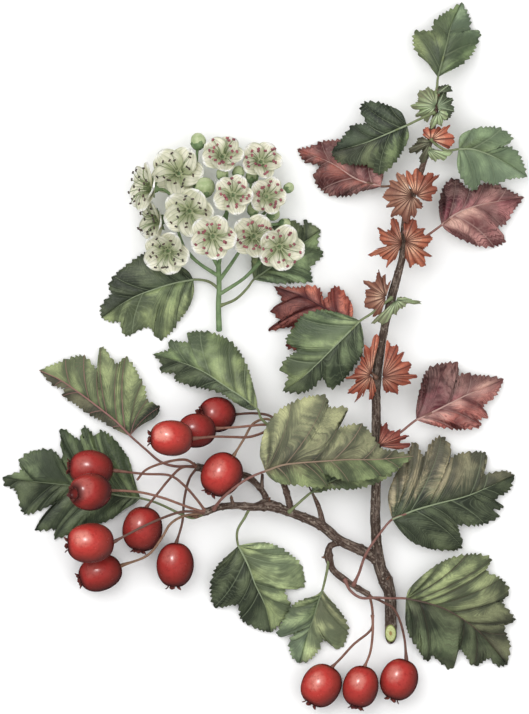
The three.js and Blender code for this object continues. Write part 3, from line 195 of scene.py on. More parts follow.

# ---- Leaves ----
# shading: how strongly the panels between veins are shaded, 1 if not given.
# tints: half a near the rib and at its margin, half b the same, then the veins and the stalk. The halves'
# tints hold painted light and shade: one half is often lighter and the other darker, as light falls on
# halves that tilt differently, and some margin tints are lighter for a painted highlight.
# tips: what each half turns to towards the tip. fold: the tint of the part of half a behind the base,
# where it folds over to show its top, if it does.
# height: base, tip, hump and the droop of each half. stalk runs from the wood to the blade, rib from
# base to tip, and a and b are the margins. bracts: foot, rim height, rim and kind of each stipule.
LEAVES = [
    {
        "name": "leaf_top", "slot": "leaf_green", "shading": 0.75,
        "tints": ["moss", "soft_green", "moss", "fern", "dim_vein", "green_stalk"],
        "tips": ["fern", "light_sage"],
        "height": [9, 1.5, 1.5, 4, 5],
        "stalk": [[51.5, 77, 9.5], [51.6, 80.5, 9.6], [51.9, 83.6, 9]],
        "rib": [[51.9, 83.6], [54.6, 94], [56, 99.5], [59.3, 106.5]],
        "a": [[50.2, 85.9], [48.3, 88.6], [45.6, 91.2], [44.6, 94], [45.1, 97.5], [48.4, 97.6], [49.8, 97.4],
              [50.8, 100.4], [53, 102.5], [56.4, 104.6]],
        "b": [[53.6, 84.6], [56.7, 86.2], [60.4, 88.7], [62.6, 91.4], [63.9, 94.3], [64.8, 97.6], [61.4, 97],
              [61.9, 100.4], [60.9, 103.4]],
        "bracts": [
            [[51.3, 75, 9.7], 8.6, [
                [51.9, 81.3], [49.5, 80.8], [47.7, 80.5], [46.2, 79.5], [45.3, 78], [44.2, 76.5],
                [43.6, 75], [44.4, 73.5], [45, 72], [46.8, 71.1], [48.6, 70.2],
            ], "pale_fan"],
            [[51.6, 74.7, 9.8], 9, [
                [52.5, 78.9], [54, 79.3], [56.1, 78.3], [56.5, 75.9], [56.9, 74.4], [56.1, 72.3],
                [56.4, 71.4], [55.2, 70.2], [53.4, 71.4],
            ], "dark_fan"],
            [[51.6, 78.6, 9.8], 9.6, [
                [52.5, 81.1], [54.9, 81.3], [57.1, 79.6], [55.2, 80], [53.1, 79],
            ], "dark_fan"],
        ],
    },
    {
        "name": "leaf_upper_left", "slot": "leaf_green",
        "tints": ["ink_green", "night_green", "night_green", "leaf_green", "pale_vein", "green_stalk"],
        "tips": ["night_green", "shade_olive"],
        "height": [9.8, 4.6, 1, 2, 0.5],
        "stalk": [[50.8, 73, 10.4], [48.5, 72, 10.5], [45.5, 70.6, 10.1], [42.6, 69.2, 9.8]],
        "rib": [[42.6, 69.2], [37, 66.8], [30, 64], [19.9, 61.3]],
        "a": [[41, 73], [37.5, 75], [33, 76.3], [29.5, 76], [28.7, 74], [30.4, 70], [26.5, 69.4],
              [24.3, 67]],
        "b": [[43.2, 66], [41.5, 62], [38.5, 57.5], [34.3, 54.6], [30.8, 57.2], [27.5, 57.5], [22, 58.3]],
        "bracts": [
            [[51.9, 73.2, 10.4], 10.2, [
                [53.1, 74.2], [54.6, 73.2], [54.6, 70.8], [52.5, 68.7], [49.8, 68.4], [49.5, 69.9],
            ], "pale_fan"],
        ],
    },
    {
        "name": "leaf_upper_right", "slot": "leaf_green", "shading": 0.55,
        "tints": ["leaf_green", "grey_sage", "grey_sage", "grey_sage", "pale_vein", "green_stalk"],
        "tips": ["grey_sage", "light_sage"],
        "height": [10.8, 5.5, 1, 2, 2.4],
        "stalk": [[49.7, 65, 10.5], [51.8, 63, 10.7], [54.5, 61.6, 10.8], [58, 62, 10.8]],
        "rib": [[58, 62], [62, 62], [67, 60.5], [73, 57.5], [78.8, 53.8]],
        "a": [[58.5, 66], [62, 68], [66, 68.7], [71, 68.2], [74.3, 65.2], [70, 62.8], [73.5, 62.8],
              [76, 61], [77.5, 58]],
        "b": [[57.6, 57], [59.5, 52.5], [62.8, 49.8], [65, 52.5], [69, 51.5], [72.3, 52.9]],
        "bracts": [
            [[49.8, 64.8, 10.4], 10.4, [
                [47.4, 66], [47.5, 67.8], [48.6, 69], [49.8, 68.1], [51.3, 68.4], [52.8, 69], [54.3, 69.3],
                [55.5, 69.1], [56.5, 67.5], [56.7, 65.4], [56.9, 63.3], [55.8, 62.1],
            ], "red_fan"],
            [[49.8, 64.2, 10.3], 9.7, [
                [46.5, 65.7], [44.7, 63.9], [43.2, 62.1], [43.2, 60.9], [44.7, 60.3], [46.2, 61.2],
                [46.2, 59.4], [46.8, 57.6], [48.3, 57.9], [48.9, 60.3],
            ], "green_brown_fan"],
            [[48.6, 62.1, 10.2], 10.8, [
                [49.5, 62.7], [51.3, 61.9], [54.3, 61], [56.4, 60.9], [55.5, 59.4], [52.5, 58.5],
                [49.8, 58.6],
            ], "pale_fan"],
        ],
    },
    {
        "name": "leaf_red_left", "slot": "leaf_red",
        "tints": ["dusk_rose", "garnet", "brick", "maroon", "rosy_vein", "brown_stalk"],
        "tips": ["ember", "brick"],
        "height": [5, 0.9, 0.5, 1.6, 1.2],
        "stalk": [[44.8, 49.4, 10.5], [41.5, 50.2, 9.2], [38, 51, 6.8], [34.8, 51, 5]],
        "rib": [[34.8, 51], [28, 53], [20, 58], [9.7, 62.3]],
        "a": [[35.5, 55], [31, 59.5], [26.5, 60.8], [26.5, 64.4], [22, 65], [17, 64.5], [14, 63.2]],
        "b": [[33, 50.3], [29, 49.5], [25, 48.2], [20, 48.3], [17, 50], [14.7, 54], [16.6, 57.2],
              [12, 58.5]],
        "bracts": [
            [[44.1, 48, 10.4], 11.2, [
                [40.8, 55.8], [39.3, 54.9], [37.5, 52.8], [36.3, 50.7], [35.7, 48.9], [35.1, 46.8],
                [36.3, 44.7], [36.8, 43.2], [37.8, 41.7], [39.6, 41.4], [41.1, 40.2], [42.9, 39.8],
                [43.8, 41.1], [45.6, 41.9], [46.5, 43.5], [47.2, 44.7], [46.5, 46.5],
            ], "brown_fan"],
            [[45.3, 48, 10.5], 10.4, [
                [40.9, 55.2], [42.9, 55.8], [44.4, 56.7], [46.2, 55.8], [47.7, 54.9], [49.5, 55.5],
                [50.4, 54.6], [52.5, 55.2], [51.9, 53.1], [51.6, 49.5], [50.7, 48.3], [50.7, 46.8],
                [48.6, 46.4],
            ], "orange_fan"],
        ],
    },
    {
        "name": "leaf_red_right", "slot": "leaf_red",
        "tints": ["wine", "plum", "blush", "dusk_rose", "rosy_vein", "rosy_stalk"],
        "tips": ["pink_bloom", "wine"],
        "height": [8.2, 1.6, 0.6, 3.6, 3.4],
        "stalk": [[41.8, 37.4, 10.8], [43.6, 34.8, 10.6], [46.4, 34.8, 10], [49.6, 36.8, 9],
                  [53, 39.3, 8.2]],
        "rib": [[53, 39.3], [57, 42.5], [63, 45], [70, 46.5], [78, 47.8]],
        "a": [[52.4, 42], [52.3, 46], [54.5, 52], [57.3, 53.4], [61.5, 50], [66, 51.8], [70, 51.5],
              [75, 49]],
        "b": [[54, 38], [58, 35.5], [65, 33], [69, 33], [72.3, 34.7], [69.8, 38.8], [72, 39.5],
              [74.5, 43.3]],
        "bracts": [
            [[41.1, 33.9, 10.6], 9.8, [
                [39.3, 41.4], [36.9, 40.8], [36.6, 39], [37.2, 37.8], [33.9, 38.4], [33.9, 36.3],
                [34.8, 34.2], [35.7, 33.1], [31.8, 31.5], [30.9, 29.7], [33.3, 30.1], [34.8, 29.7],
                [36.3, 26.7], [37.8, 27.3], [39.3, 29.7],
            ], "orange_fan"],
            [[42, 34.5, 10.7], 10, [
                [41.7, 40.2], [43.5, 41.4], [45.9, 40.5], [47.7, 39.6], [48, 37.8], [48.9, 36.6],
                [50.7, 34.8], [49.5, 33], [47.7, 32.4], [49.5, 30.9], [49.9, 28.8], [48.3, 28.1],
                [47.7, 26.4], [45.3, 27], [43.5, 26.6], [42.3, 28.2], [42.1, 30.9],
            ], "orange_fan"],
        ],
    },
    {
        "name": "leaf_green_left", "slot": "leaf_green",
        "tints": ["sunlit_sage", "fern", "ink_green", "moss", "pale_vein", "green_stalk"],
        "tips": ["soft_green", "deep_green"],
        "height": [11.5, 5, 0.9, 1, 2],
        "stalk": [[38, 17.4, 10.9], [35, 15.3, 11.2], [32, 12.8, 11.5], [28.5, 10.5, 11.5]],
        "rib": [[28.5, 10.5], [24, 6], [20, 2], [15, -3], [10, -7.5], [5.3, -10.6]],
        "a": [[27, 11.3], [22, 13], [17, 13.8], [13, 13], [10.5, 11.5], [8, 7.5], [6.3, 4.6], [9.8, 1.9],
              [6.6, -0.6], [4.7, -4], [7, -5.3]],
        "b": [[29.2, 8], [29.6, 4], [28.8, 0], [26.5, -3.5], [23.5, -7.3], [19.7, -9.8], [17.3, -6.5],
              [14.5, -9.5], [11, -11], [8, -11]],
        "bracts": [
            [[36.3, 17.7, 10.8], 11.4, [
                [37.8, 23.4], [36.3, 22.2], [35.7, 25.2], [34.5, 24.6], [33.6, 26.8], [33.3, 24],
                [30.6, 23.7], [29.4, 22.5], [30.3, 20.7], [29.5, 18], [29.7, 15.9], [30.3, 13.8],
                [32.1, 12.3], [33, 10.8], [34.2, 11.7],
            ], "brown_fan"],
            [[39.3, 16.8, 10.9], 11.2, [
                [40.2, 17.8], [43.2, 17.4], [48.6, 15.8], [42.9, 15.4], [41.1, 14.1], [39, 12],
                [36.9, 10.2], [34.5, 9.3], [31.8, 9.6],
            ], "pale_fan"],
        ],
    },
    {
        "name": "leaf_red_under", "slot": "leaf_red", "shading": 0.85,
        "tints": ["ember", "coral", "ember", "brick", "plum", "brown_stalk"],
        "tips": ["rose", "garnet"],
        "height": [5.6, 1.2, 0.4, 1.2, 1.6],
        "stalk": [[33.4, -6.6, 11], [31.2, -4.2, 10], [29, 0, 7.6], [27.3, 5, 6.2], [26, 9.5, 5.6]],
        "rib": [[26, 9.5], [20, 13], [12, 17.6], [2.7, 21]],
        "a": [[26.4, 14.6], [24.4, 18.4], [21.2, 21], [17.6, 16.8], [16.4, 20.2], [13.7, 21.2],
              [9.4, 20.6]],
        "b": [[22, 6.5], [15, 3.6], [9, 2], [6.5, 2.8], [8, 8.6], [1.2, 7.6], [4.5, 10.4], [1.9, 13.8],
              [5.4, 15.6]],
        "bracts": [
            [[31.8, -5.7, 11], 10.4, [
                [34.2, 6.9], [32.1, 6], [30.3, 4.5], [29.4, 1.8], [28.5, -0.9], [27.6, -3.3], [25.8, -4.8],
                [24, -6.6], [26.4, -7.5], [27.3, -8.2], [25.5, -9.6], [24.9, -11.1], [27, -11.7],
                [27, -13.8], [28.8, -12.9], [29.7, -10.9], [31.2, -11.1], [31.5, -13.2], [32.7, -12.3],
                [33.3, -9.6],
            ], "red_fan"],
            [[35.1, -6.3, 11], 10.6, [
                [36.9, 5.4], [38.4, 3.6], [39.6, 3.3], [40.8, 3], [41.7, 1.2], [43.2, -0.3], [43.8, -2.4],
                [43.8, -4.5], [45.9, -6.3], [43.8, -7.8], [43.2, -9.3], [41.4, -10], [40.5, -10.8],
                [39.3, -11.4], [37.5, -11.4], [36, -10.5], [35.4, -9],
            ], "red_fan"],
        ],
    },
    {
        "name": "leaf_red_lower", "slot": "leaf_red",
        "tints": ["wine", "maroon", "pink_bloom", "ember", "rosy_vein", "rosy_stalk"],
        "tips": ["blush", "rose"],
        "height": [8.4, 1.2, 1, 3.2, 3.4],
        "stalk": [[33.6, -26.6, 10.2], [37, -25.2, 9.9], [40.6, -22.9, 9.3], [45.4, -19.2, 8.4]],
        "rib": [[45.4, -19.2], [53, -15.5], [60, -12], [66, -9.5], [71.9, -6.9]],
        "a": [[45.3, -16.5], [46, -12], [47.3, -7.6], [49, -4], [52, -2.5], [58, -2.3], [57.7, -6],
              [60, -5.2], [63, -5.7], [68.3, -6.2]],
        "b": [[47, -19.8], [51, -21], [55, -21.7], [60, -22], [65, -21], [64, -19.5], [67.3, -18],
              [65.3, -15.8], [69.6, -11.7]],
        "bracts": [
            [[33.9, -27, 10.2], 9.9, [
                [35.5, -18.9], [36.9, -20.4], [37.8, -20.7], [38.9, -21.6], [39.6, -22.8], [40.5, -21.9],
                [41.1, -23.4], [43, -23.8], [42.3, -25.5], [43.8, -26.7], [42.9, -28.2],
            ], "crimson_fan"],
        ],
    },
    {
        "name": "leaf_dark_right", "slot": "leaf_green",
        "tints": ["ink_green", "pale_lobe", "ink_green", "deep_green", "pale_vein", "rosy_stalk"],
        "tips": ["olive", "deep_green"],
        "height": [8.4, 1.2, 1, 3.2, 4],
        "stalk": [[26.6, -68.9, 4.7], [28.3, -65, 6.6], [29.6, -61, 8.3], [31.2, -57.8, 9.2],
                  [35, -52.5, 9.3], [38.2, -49, 8.4]],
        "rib": [[38.2, -49], [45, -46.3], [52, -44.3], [60, -42.3], [66, -40], [75.2, -35.8]],
        "a": [[37.4, -46], [36.9, -42], [38.5, -37], [42, -31], [45, -25.8], [47.6, -30.4], [50, -26],
              [53, -24.2], [55.6, -27], [54.7, -32.3], [57, -30], [61, -29], [66.5, -29.4], [65, -35.3],
              [72.3, -34.6]],
        "b": [[39.5, -51], [42, -54], [45, -56.3], [52.3, -58.3], [59.2, -57.5], [58, -51], [62, -51],
              [66, -50.5], [70.3, -48.2], [67.5, -46.6], [71.6, -45.7], [69, -43.4], [73.5, -40.3]],
        "bracts": [],
    },
    {
        "name": "leaf_foot_right", "slot": "leaf_green",
        "tints": ["soft_green", "spring_green", "deep_green", "moss", "umber_vein", "rosy_stalk"],
        "tips": ["shade_olive", "deep_green"],
        "height": [6.8, 1, 1.5, 3, 4],
        "stalk": [[24, -67.2, 4.8], [25.6, -70.4, 5.4], [28.8, -72.6, 6.6], [33.2, -72.5, 7.8],
                  [37, -72.7, 7.8], [42.3, -72.8, 6.8]],
        "rib": [[42.3, -72.8], [48, -74], [54, -76], [60, -79.5], [65, -83.5], [73, -93]],
        "a": [[43, -70.4], [45, -68], [50, -63.8], [55, -61], [60, -59.8], [64, -59.6], [68, -61],
              [66.5, -64.5], [71, -67], [73.5, -70.8], [71.5, -73.8], [75.2, -79.5], [72, -81],
              [73.7, -87]],
        "b": [[42.2, -76], [42.2, -80], [43.4, -84], [46, -88], [48.9, -92], [50, -90], [56, -94.3],
              [58.3, -88], [63, -93.3], [67.3, -91], [70, -93.3]],
        "bracts": [],
    },
    {
        "name": "leaf_big_underside", "slot": "leaf_pale",
        "tints": ["olive", "straw_green", "dull_olive", "soft_green", "tan_vein", "rosy_stalk"],
        "tips": ["olive", "leaf_green"],
        "height": [14.8, 12.6, 2.4, 2.6, 1.6],
        "stalk": [[-15.4, -46, 9.4], [-13.2, -43, 12.8], [-10.6, -40.6, 14.6], [-7, -37.8, 15.4],
                  [-3.4, -35.8, 15.3], [0, -34.5, 14.8]],
        "rib": [[0, -34.5], [5, -32.7], [10, -32], [17, -31.5], [25, -31], [33, -31], [44.5, -30]],
        "a": [[-0.6, -32.5], [-1.5, -30], [-1, -25], [1, -20], [4, -16.5], [8, -14], [12, -12.5],
              [18.3, -12], [19, -15.2], [24.5, -15.5], [21.4, -21.6], [24, -21], [29, -20.5], [33, -25],
              [35, -27.7], [40, -28.6]],
        "b": [[1.4, -36.4], [4, -38], [10, -38.7], [18.5, -39], [17.6, -35.4], [25, -37.7], [33, -36.5],
              [38, -35], [41, -32.6]],
        "bracts": [],
    },
    {
        "name": "leaf_under_big", "slot": "leaf_green",
        "tints": ["moss", "leaf_green", "dull_olive", "soft_green", "dim_vein", "green_stalk"],
        "tips": ["leaf_green", "soft_green"],
        "height": [9.2, 11, 0.4, 0.3, 0.3],
        "stalk": [[7.2, -46.8, 9.2], [10, -44.2, 9.4], [13.8, -41, 9.2]],
        "rib": [[13.8, -41], [20, -37.5], [29, -34], [42, -31.5]],
        "a": [[14.6, -38.5], [20, -33.5], [27, -31.5], [34, -30.3], [39, -30.4]],
        "b": [[16, -41], [20, -39.9], [27, -39.8], [33, -38.2], [38, -35.5]],
        "bracts": [],
    },
    {
        "name": "leaf_centre_left", "slot": "leaf_green",
        "tints": ["spring_green", "soft_green", "ink_green", "moss", "pale_vein", "green_stalk"],
        "tips": ["fern", "deep_green"],
        "height": [11.8, 1.2, 1.4, 2.6, 1],
        "stalk": [[4.2, -20.4, 10.5], [1.2, -20.6, 11.7], [-1.2, -18.6, 12], [-2.2, -16, 11.8]],
        "rib": [[-2.2, -16], [-6, -13], [-12, -9], [-18, -5], [-24, -2.3], [-33.8, 0.5]],
        "a": [[-2.4, -13.5], [-3.5, -9], [-5, -4], [-7.5, 1], [-10.5, 4.5], [-14, 6.3], [-17.5, 7.3],
              [-23, 6.8], [-22.7, 4.5], [-29.2, 4.4], [-28.4, 2.4]],
        "b": [[-4.5, -16.2], [-8, -14.6], [-13, -11.3], [-17, -10], [-22, -9], [-27.3, -6.9],
              [-26, -5.5], [-31.5, -4.6], [-31, -2.4]],
        "bracts": [],
    },
    {
        "name": "leaf_pale_left", "slot": "leaf_pale", "fold": "ink_green",
        "tints": ["leaf_green", "spring_green", "olive", "olive", "madder_vein", "rosy_stalk"],
        "tips": ["spring_green", "shade_olive"],
        "height": [3.6, 0.8, 1.2, 1, 1.2],
        "stalk": [[-20.3, -33.2, 3.9], [-23.6, -33.2, 3.2], [-27.4, -33.1, 3.2], [-31.4, -31.8, 3.4],
                  [-36, -28, 3.6], [-40.5, -24, 3.6]],
        "rib": [[-40.5, -24], [-45, -19.5], [-50, -15.5], [-56, -11], [-62, -7], [-68, -4.3]],
        "a": [[-38.8, -21.4], [-33, -18.4], [-31.7, -15.4], [-35.4, -13.2], [-36.2, -9.5], [-38, -6],
              [-42, -0.3], [-44.3, -2.5], [-49.3, 2.8], [-50.3, -4], [-54.5, 0], [-58, -0.4],
              [-62, -1.9]],
        "b": [[-42, -23.5], [-46, -21.5], [-49, -19.6], [-53, -17.5], [-57, -14.5], [-60.7, -11.9],
              [-60.4, -9.8], [-63.4, -9]],
        "bracts": [],
    },
    {
        "name": "leaf_far_left", "slot": "leaf_green",
        "tints": ["leaf_green", "leaf_green", "deep_green", "moss", "dim_vein", "green_stalk"],
        "tips": ["moss", "deep_green"],
        "height": [2.2, 0.6, 0, 0.4, 0.5],
        "stalk": [[-18.4, -47.3, 7.2], [-21.4, -48.6, 7], [-25, -47.6, 6.4], [-28.6, -45.9, 5.4],
                  [-33, -44, 3.6], [-37.5, -42.8, 2.2]],
        "rib": [[-37.5, -42.8], [-44, -42], [-52, -40], [-60, -38.8], [-68, -38], [-79, -36.5]],
        "a": [[-38.4, -40], [-39.6, -36], [-41, -31], [-46, -24.5], [-49.5, -22.5], [-51, -24],
              [-54.5, -21.2], [-55.8, -25], [-61.3, -21.9], [-61, -31.5], [-64, -28.4], [-71, -29],
              [-74, -31.7], [-73, -34]],
        "b": [[-39, -44.2], [-42, -46], [-46.5, -49.2], [-55, -52], [-63.5, -54.8], [-62.8, -52.4],
              [-69, -52.3], [-61.5, -43.4], [-68, -46.5], [-72.5, -47.5], [-75.2, -40.4],
              [-78.3, -38.8]],
        "bracts": [],
    },
    {
        "name": "leaf_foot_left", "slot": "leaf_green",
        "tints": ["deep_green", "deep_green", "spring_green", "sunlit_sage", "pale_vein", "green_stalk"],
        "tips": ["ink_green", "soft_green"],
        "height": [6.4, 1, 1.4, 4, 4],
        "stalk": [[-4.6, -45.6, 8], [-5.9, -48.2, 7.6], [-8.3, -52.6, 7], [-8, -57, 6.4]],
        "rib": [[-8, -57], [-5, -63], [-3, -68.5], [0, -75], [1.8, -83.3]],
        "a": [[-9.6, -58.4], [-12, -60.6], [-14.5, -63.5], [-16.2, -68], [-16.2, -72], [-15.2, -75.4],
              [-8.2, -75], [-7.3, -79], [-3, -81.8]],
        "b": [[-5.6, -56.4], [0, -56], [4, -57.3], [8, -60], [10.8, -62.8], [11.5, -69.5], [6, -70.3],
              [7.8, -75.5], [7, -78], [4.2, -81]],
        "bracts": [],
    },
    {
        "name": "leaf_foot_centre", "slot": "leaf_green",
        "tints": ["leaf_green", "spring_green", "straw_green", "straw_green", "dim_vein", "green_stalk"],
        "tips": ["light_sage", "sunlit_sage"],
        "height": [5.6, 0.9, 1, 0.8, 3],
        "stalk": [[19.1, -60.4, 5.2], [18.8, -63.6, 5.7], [18.1, -67, 5.8], [17.3, -70.2, 5.6]],
        "rib": [[17.3, -70.2], [16, -74], [14.5, -79], [12.5, -85], [10.5, -92.5]],
        "a": [[15.4, -71.8], [12, -73], [8.5, -74.8], [5.5, -79.5], [3.7, -84.3], [8.7, -83.4],
              [7.3, -86], [8.2, -90.6]],
        "b": [[18.6, -72], [21.5, -75.4], [24.5, -80], [25, -83], [22.5, -88.2], [17.4, -85.2],
              [16.4, -88], [13.4, -91.4]],
        "bracts": [],
    },
    {
        "name": "leaf_flower_left", "slot": "leaf_green",
        "tints": ["night_green", "deep_green", "leaf_green", "spring_green", "pale_vein", "green_stalk"],
        "tips": ["deep_green", "soft_green"],
        "height": [2.6, 0.5, 0.6, 1.4, 1.6],
        "stalk": [[-13.6, 20, 3.4], [-17, 22.4, 3], [-21.5, 23, 2.6]],
        "rib": [[-21.5, 23], [-27, 22], [-33, 20.2], [-40, 17.5], [-49.3, 11.5]],
        "a": [[-23, 25.4], [-27, 28], [-31.5, 30.4], [-36, 31], [-40, 28.5], [-45.5, 24], [-47, 21],
              [-46.2, 19.2], [-49.3, 15]],
        "b": [[-21.4, 19], [-23, 14.5], [-26, 10.5], [-28.5, 7], [-31.8, 5], [-35, 8.7], [-42, 6.2],
              [-43.8, 10.3], [-46, 10.2]],
        "bracts": [],
    },
    {
        "name": "leaf_flower_right", "slot": "leaf_green",
        "tints": ["moss", "spring_green", "leaf_green", "grey_sage", "dim_vein", "green_stalk"],
        "tips": ["deep_green", "leaf_green"],
        "height": [2.6, 0.7, 0.4, 1.2, 1.4],
        "stalk": [[-13.8, 15, 3], [-9, 17, 2.9], [-5.5, 20.2, 2.8], [-3.4, 23, 2.6]],
        "rib": [[-3.4, 23], [3, 27.6], [9.6, 32.6], [16.8, 38]],
        "a": [[-4, 26], [-3.8, 31], [-1, 36], [3, 39.6], [7.7, 41], [11.8, 38.8], [11.7, 40.8]],
        "b": [[-0.6, 22.4], [4.4, 21.8], [9.4, 22.2], [14.1, 22.6], [13.6, 26.4], [17.4, 30.5],
              [15.8, 33.2]],
        "bracts": [],
    },
]

# ---- Flowering sprig ----
SPRIG_BRANCHES = [
    [[-13.8, 7.8, 2.6, 0.9], [-14, 15, 3, 0.8], [-13.8, 21, 3.6, 0.75], [-14, 27, 4.5, 0.75]],
    [[-13.9, 24, 4, 0.6], [-20, 28, 5.2, 0.5], [-24, 31.8, 6, 0.65]],
    [[-14, 26.6, 4.4, 0.6], [-18.5, 35, 5.8, 0.5], [-22, 41, 6.4, 0.65]],
    [[-14, 26.6, 4.4, 0.6], [-12.5, 36, 6.2, 0.5], [-11.5, 43, 7.4, 0.65]],
    [[-13.8, 22.6, 3.8, 0.6], [-8, 31, 5.6, 0.5], [-4, 39, 6.4, 0.65]],
    [[-13.8, 18.5, 3.4, 0.6], [-6, 23.6, 5.4, 0.5], [-1.4, 28.4, 6, 0.65]],
]
BUDS = [
    [[-20.1, 64.6, 7.4], 2.4, [-22, 41, 6.4]], [[-18, 50.6, 12.2], 3, [-22, 41, 6.4]],
    [[-12.8, 54.5, 11.4], 1.9, [-11.5, 43, 7.4]], [[-8, 55.2, 9.4], 1.9, [-11.5, 43, 7.4]],
    [[-4.3, 53.8, 6.6], 1.7, [-4, 39, 6.4]], [[-3.6, 44, 9.4], 1.9, [-4, 39, 6.4]],
    [[2.6, 42.6, 7], 1.9, [-4, 39, 6.4]], [[6, 39.8, 5.4], 1.7, [-4, 39, 6.4]],
    [[7.2, 50.6, 6], 1.6, [-4, 39, 6.4]],
]
FLOWERS = [
    ["flower_1", [-25.9, 54.8, 5.8], 7.6, [-0.15, 0.2, 0.97], [-22, 41, 6.4]],
    ["flower_2", [-12.8, 59.7, 9.8], 6.1, [0, 0.5, 0.86], [-11.5, 43, 7.4]],
    ["flower_3", [-1.3, 58.2, 8], 5.7, [0.15, 0.35, 0.92], [-4, 39, 6.4]],
    ["flower_4", [-34.1, 50.2, 12.6], 7.1, [-0.88, 0.12, 0.46], [-22, 41, 6.4]],
    ["flower_5", [-9.6, 48.1, 14.6], 5.7, [0.05, 0.1, 0.99], [-11.5, 43, 7.4]],
    ["flower_6", [0.3, 47.8, 10.6], 5.4, [0.3, 0.12, 0.95], [-4, 39, 6.4]],
    ["flower_7", [-22.6, 43.4, 14.8], 7.3, [-0.1, -0.25, 0.96], [-22, 41, 6.4]],
    ["flower_8", [-31.9, 40.6, 8], 6.1, [-0.87, -0.12, 0.48], [-24, 31.8, 6]],
    ["flower_9", [-15.6, 35.8, 18.2], 6.4, [0.05, -0.12, 0.99], [-11.5, 43, 7.4]],
    ["flower_10", [-29.1, 31.6, 9.6], 6.8, [-0.2, -0.4, 0.89], [-24, 31.8, 6]],
    ["flower_11", [-3.4, 35.9, 14.6], 6.3, [0.1, -0.05, 0.99], [-4, 39, 6.4]],
    ["flower_12", [4.2, 32.7, 18.2], 6.7, [0.2, -0.25, 0.95], [-1.4, 28.4, 6]],
]
DARK_ANTHERS = ("flower_1", "flower_4", "flower_7", "flower_8", "flower_10")
STUB_REACH = 3.2
RECEPTACLE_RADIUS = 1.5
RECEPTACLE_DEPTH = 2.6
# Styles in the middle of each open flower.
STYLES = 3
# A flower whose direction rises less than this is seen from the side.
SIDEWAYS = 0.6

# ---- How a blade is built up ----
# Lines from the rib to each stretch of the margin, and points on each line.
MARGIN_STEPS = 14
LINE_STEPS = 10
# Most distance between two main veins at the margin, and the usual length of one, in millimetres.
VEIN_SPACING = 7.0
VEIN_LENGTH = 14.0
# Share of a tooth's pitch over which it rises toward the tip.
TOOTH_RISE = 0.78
# A blade seen from below swells the other way between its veins, and less.
UNDERSIDE_SWELL = -0.6
# About the distance between two flutes of a stipule's rim, in millimetres.
FLUTE_PITCH = 4.1


# ---- Colour and small sums ----
def linear(hex_value):
    """An sRGB hex value as linear red, green, blue and an alpha of 1."""
    channels = np.array([int(hex_value[i:i + 2], 16) for i in (0, 2, 4)]) / 255
    flat = np.where(channels <= 0.04045, channels / 12.92, ((channels + 0.055) / 1.055) ** 2.4)
    return (*flat.tolist(), 1.0)


def tint(hex_value):
    """A hex value as three linear numbers."""
    return np.array(linear(hex_value)[:3])


def unit(vectors):
    """Vectors scaled to length one."""
    vectors = np.asarray(vectors, float)
    return vectors / np.maximum(np.linalg.norm(vectors, axis=-1, keepdims=True), 1e-12)


def smooth(share):
    """The cubic ease of a share from 0 to 1."""
    share = np.clip(share, 0, 1)
    return share * share * (3 - 2 * share)


def full_turn(steps):
    """The angles of a full turn in equal steps."""
    return np.arange(steps) / steps * 2 * np.pi


def cross_directions(axis, hint):
    """Two directions square to an axis and to each other, the first of them square to a hint too."""
    side = unit(np.cross(axis, hint))
    return side, np.cross(side, axis)


def outward(side, over, angle):
    """Directions away from an axis, by the angle or the angles round it."""
    angle = np.asarray(angle)[..., None]
    return np.cos(angle) * side + np.sin(angle) * over


def distance_along(points):
    """How far along a path each of its points is."""
    return np.concatenate([[0], np.cumsum(np.linalg.norm(np.diff(points, axis=0), axis=1))])


def at_shares(points, shares):
    """Points of a plan path at shares of its steps, from 0 to 1."""
    steps = np.linspace(0, 1, len(points))
    return np.stack([np.interp(shares, steps, column) for column in points.T], 1)


def turning(loop):
    """1 where a closed plan outline runs anticlockwise and -1 where it runs clockwise."""
    x, y = loop.T
    return np.sign(np.sum(x * np.roll(y, -1) - np.roll(x, -1) * y))


def both_faces(upper, lower):
    """Lines across the upper side, each run back along the lower side, so that each closes."""
    return np.concatenate([upper, lower[:, ::-1]], axis=1)


def curve_through(route, per):
    """Centripetal Catmull-Rom through a route, per points to a stretch: a cubic whose tangents come
    from the neighbours, weighed by the square root of the distance between them."""
    p = np.asarray(route, float)
    ext = np.vstack([2 * p[0] - p[1], p, 2 * p[-1] - p[-2]])
    gap = np.maximum(np.sqrt(np.linalg.norm(np.diff(ext, axis=0), axis=1)), 1e-4)[:, None]
    d0, d1, d2 = gap[:-2], gap[1:-1], gap[2:]
    x0, x1, x2, x3 = ext[:-3], ext[1:-2], ext[2:-1], ext[3:]
    start = ((x1 - x0) / d0 - (x2 - x0) / (d0 + d1) + (x2 - x1) / d1) * d1
    stop = ((x2 - x1) / d1 - (x3 - x1) / (d1 + d2) + (x3 - x2) / d2) * d1
    w = np.linspace(0, 1, per, endpoint=False)[None, :, None]
    x1, x2, start, stop = (v[:, None, :] for v in (x1, x2, start, stop))
    bent = x1 + start * w + (3 * (x2 - x1) - 2 * start - stop) * w ** 2
    bent = bent + (2 * (x1 - x2) + start + stop) * w ** 3
    return np.vstack([bent.reshape(-1, p.shape[1]), p[-1:]])


def limb_curve(route, per):
    """The centres and radii along a route of x, y, z and radius, per of them to a stretch. A radius
    passes into the next by the smoothed share of the stretch."""
    route = np.array(route, float)
    radii = route[:, 3]
    share = smooth(np.linspace(0, 1, per, endpoint=False))
    eased = (radii[:-1, None] + np.diff(radii)[:, None] * share).ravel()
    return curve_through(route[:, :3], per), np.append(eased, radii[-1])


def pole_of(name):
    """Where a stalk meets its haw: just clear of the haw's near end."""
    _, centre, half_length, _, direction, _ = next(haw for haw in HAWS if haw[0] == name)
    return (np.array(centre) - unit(direction) * (half_length - 0.1)).tolist()


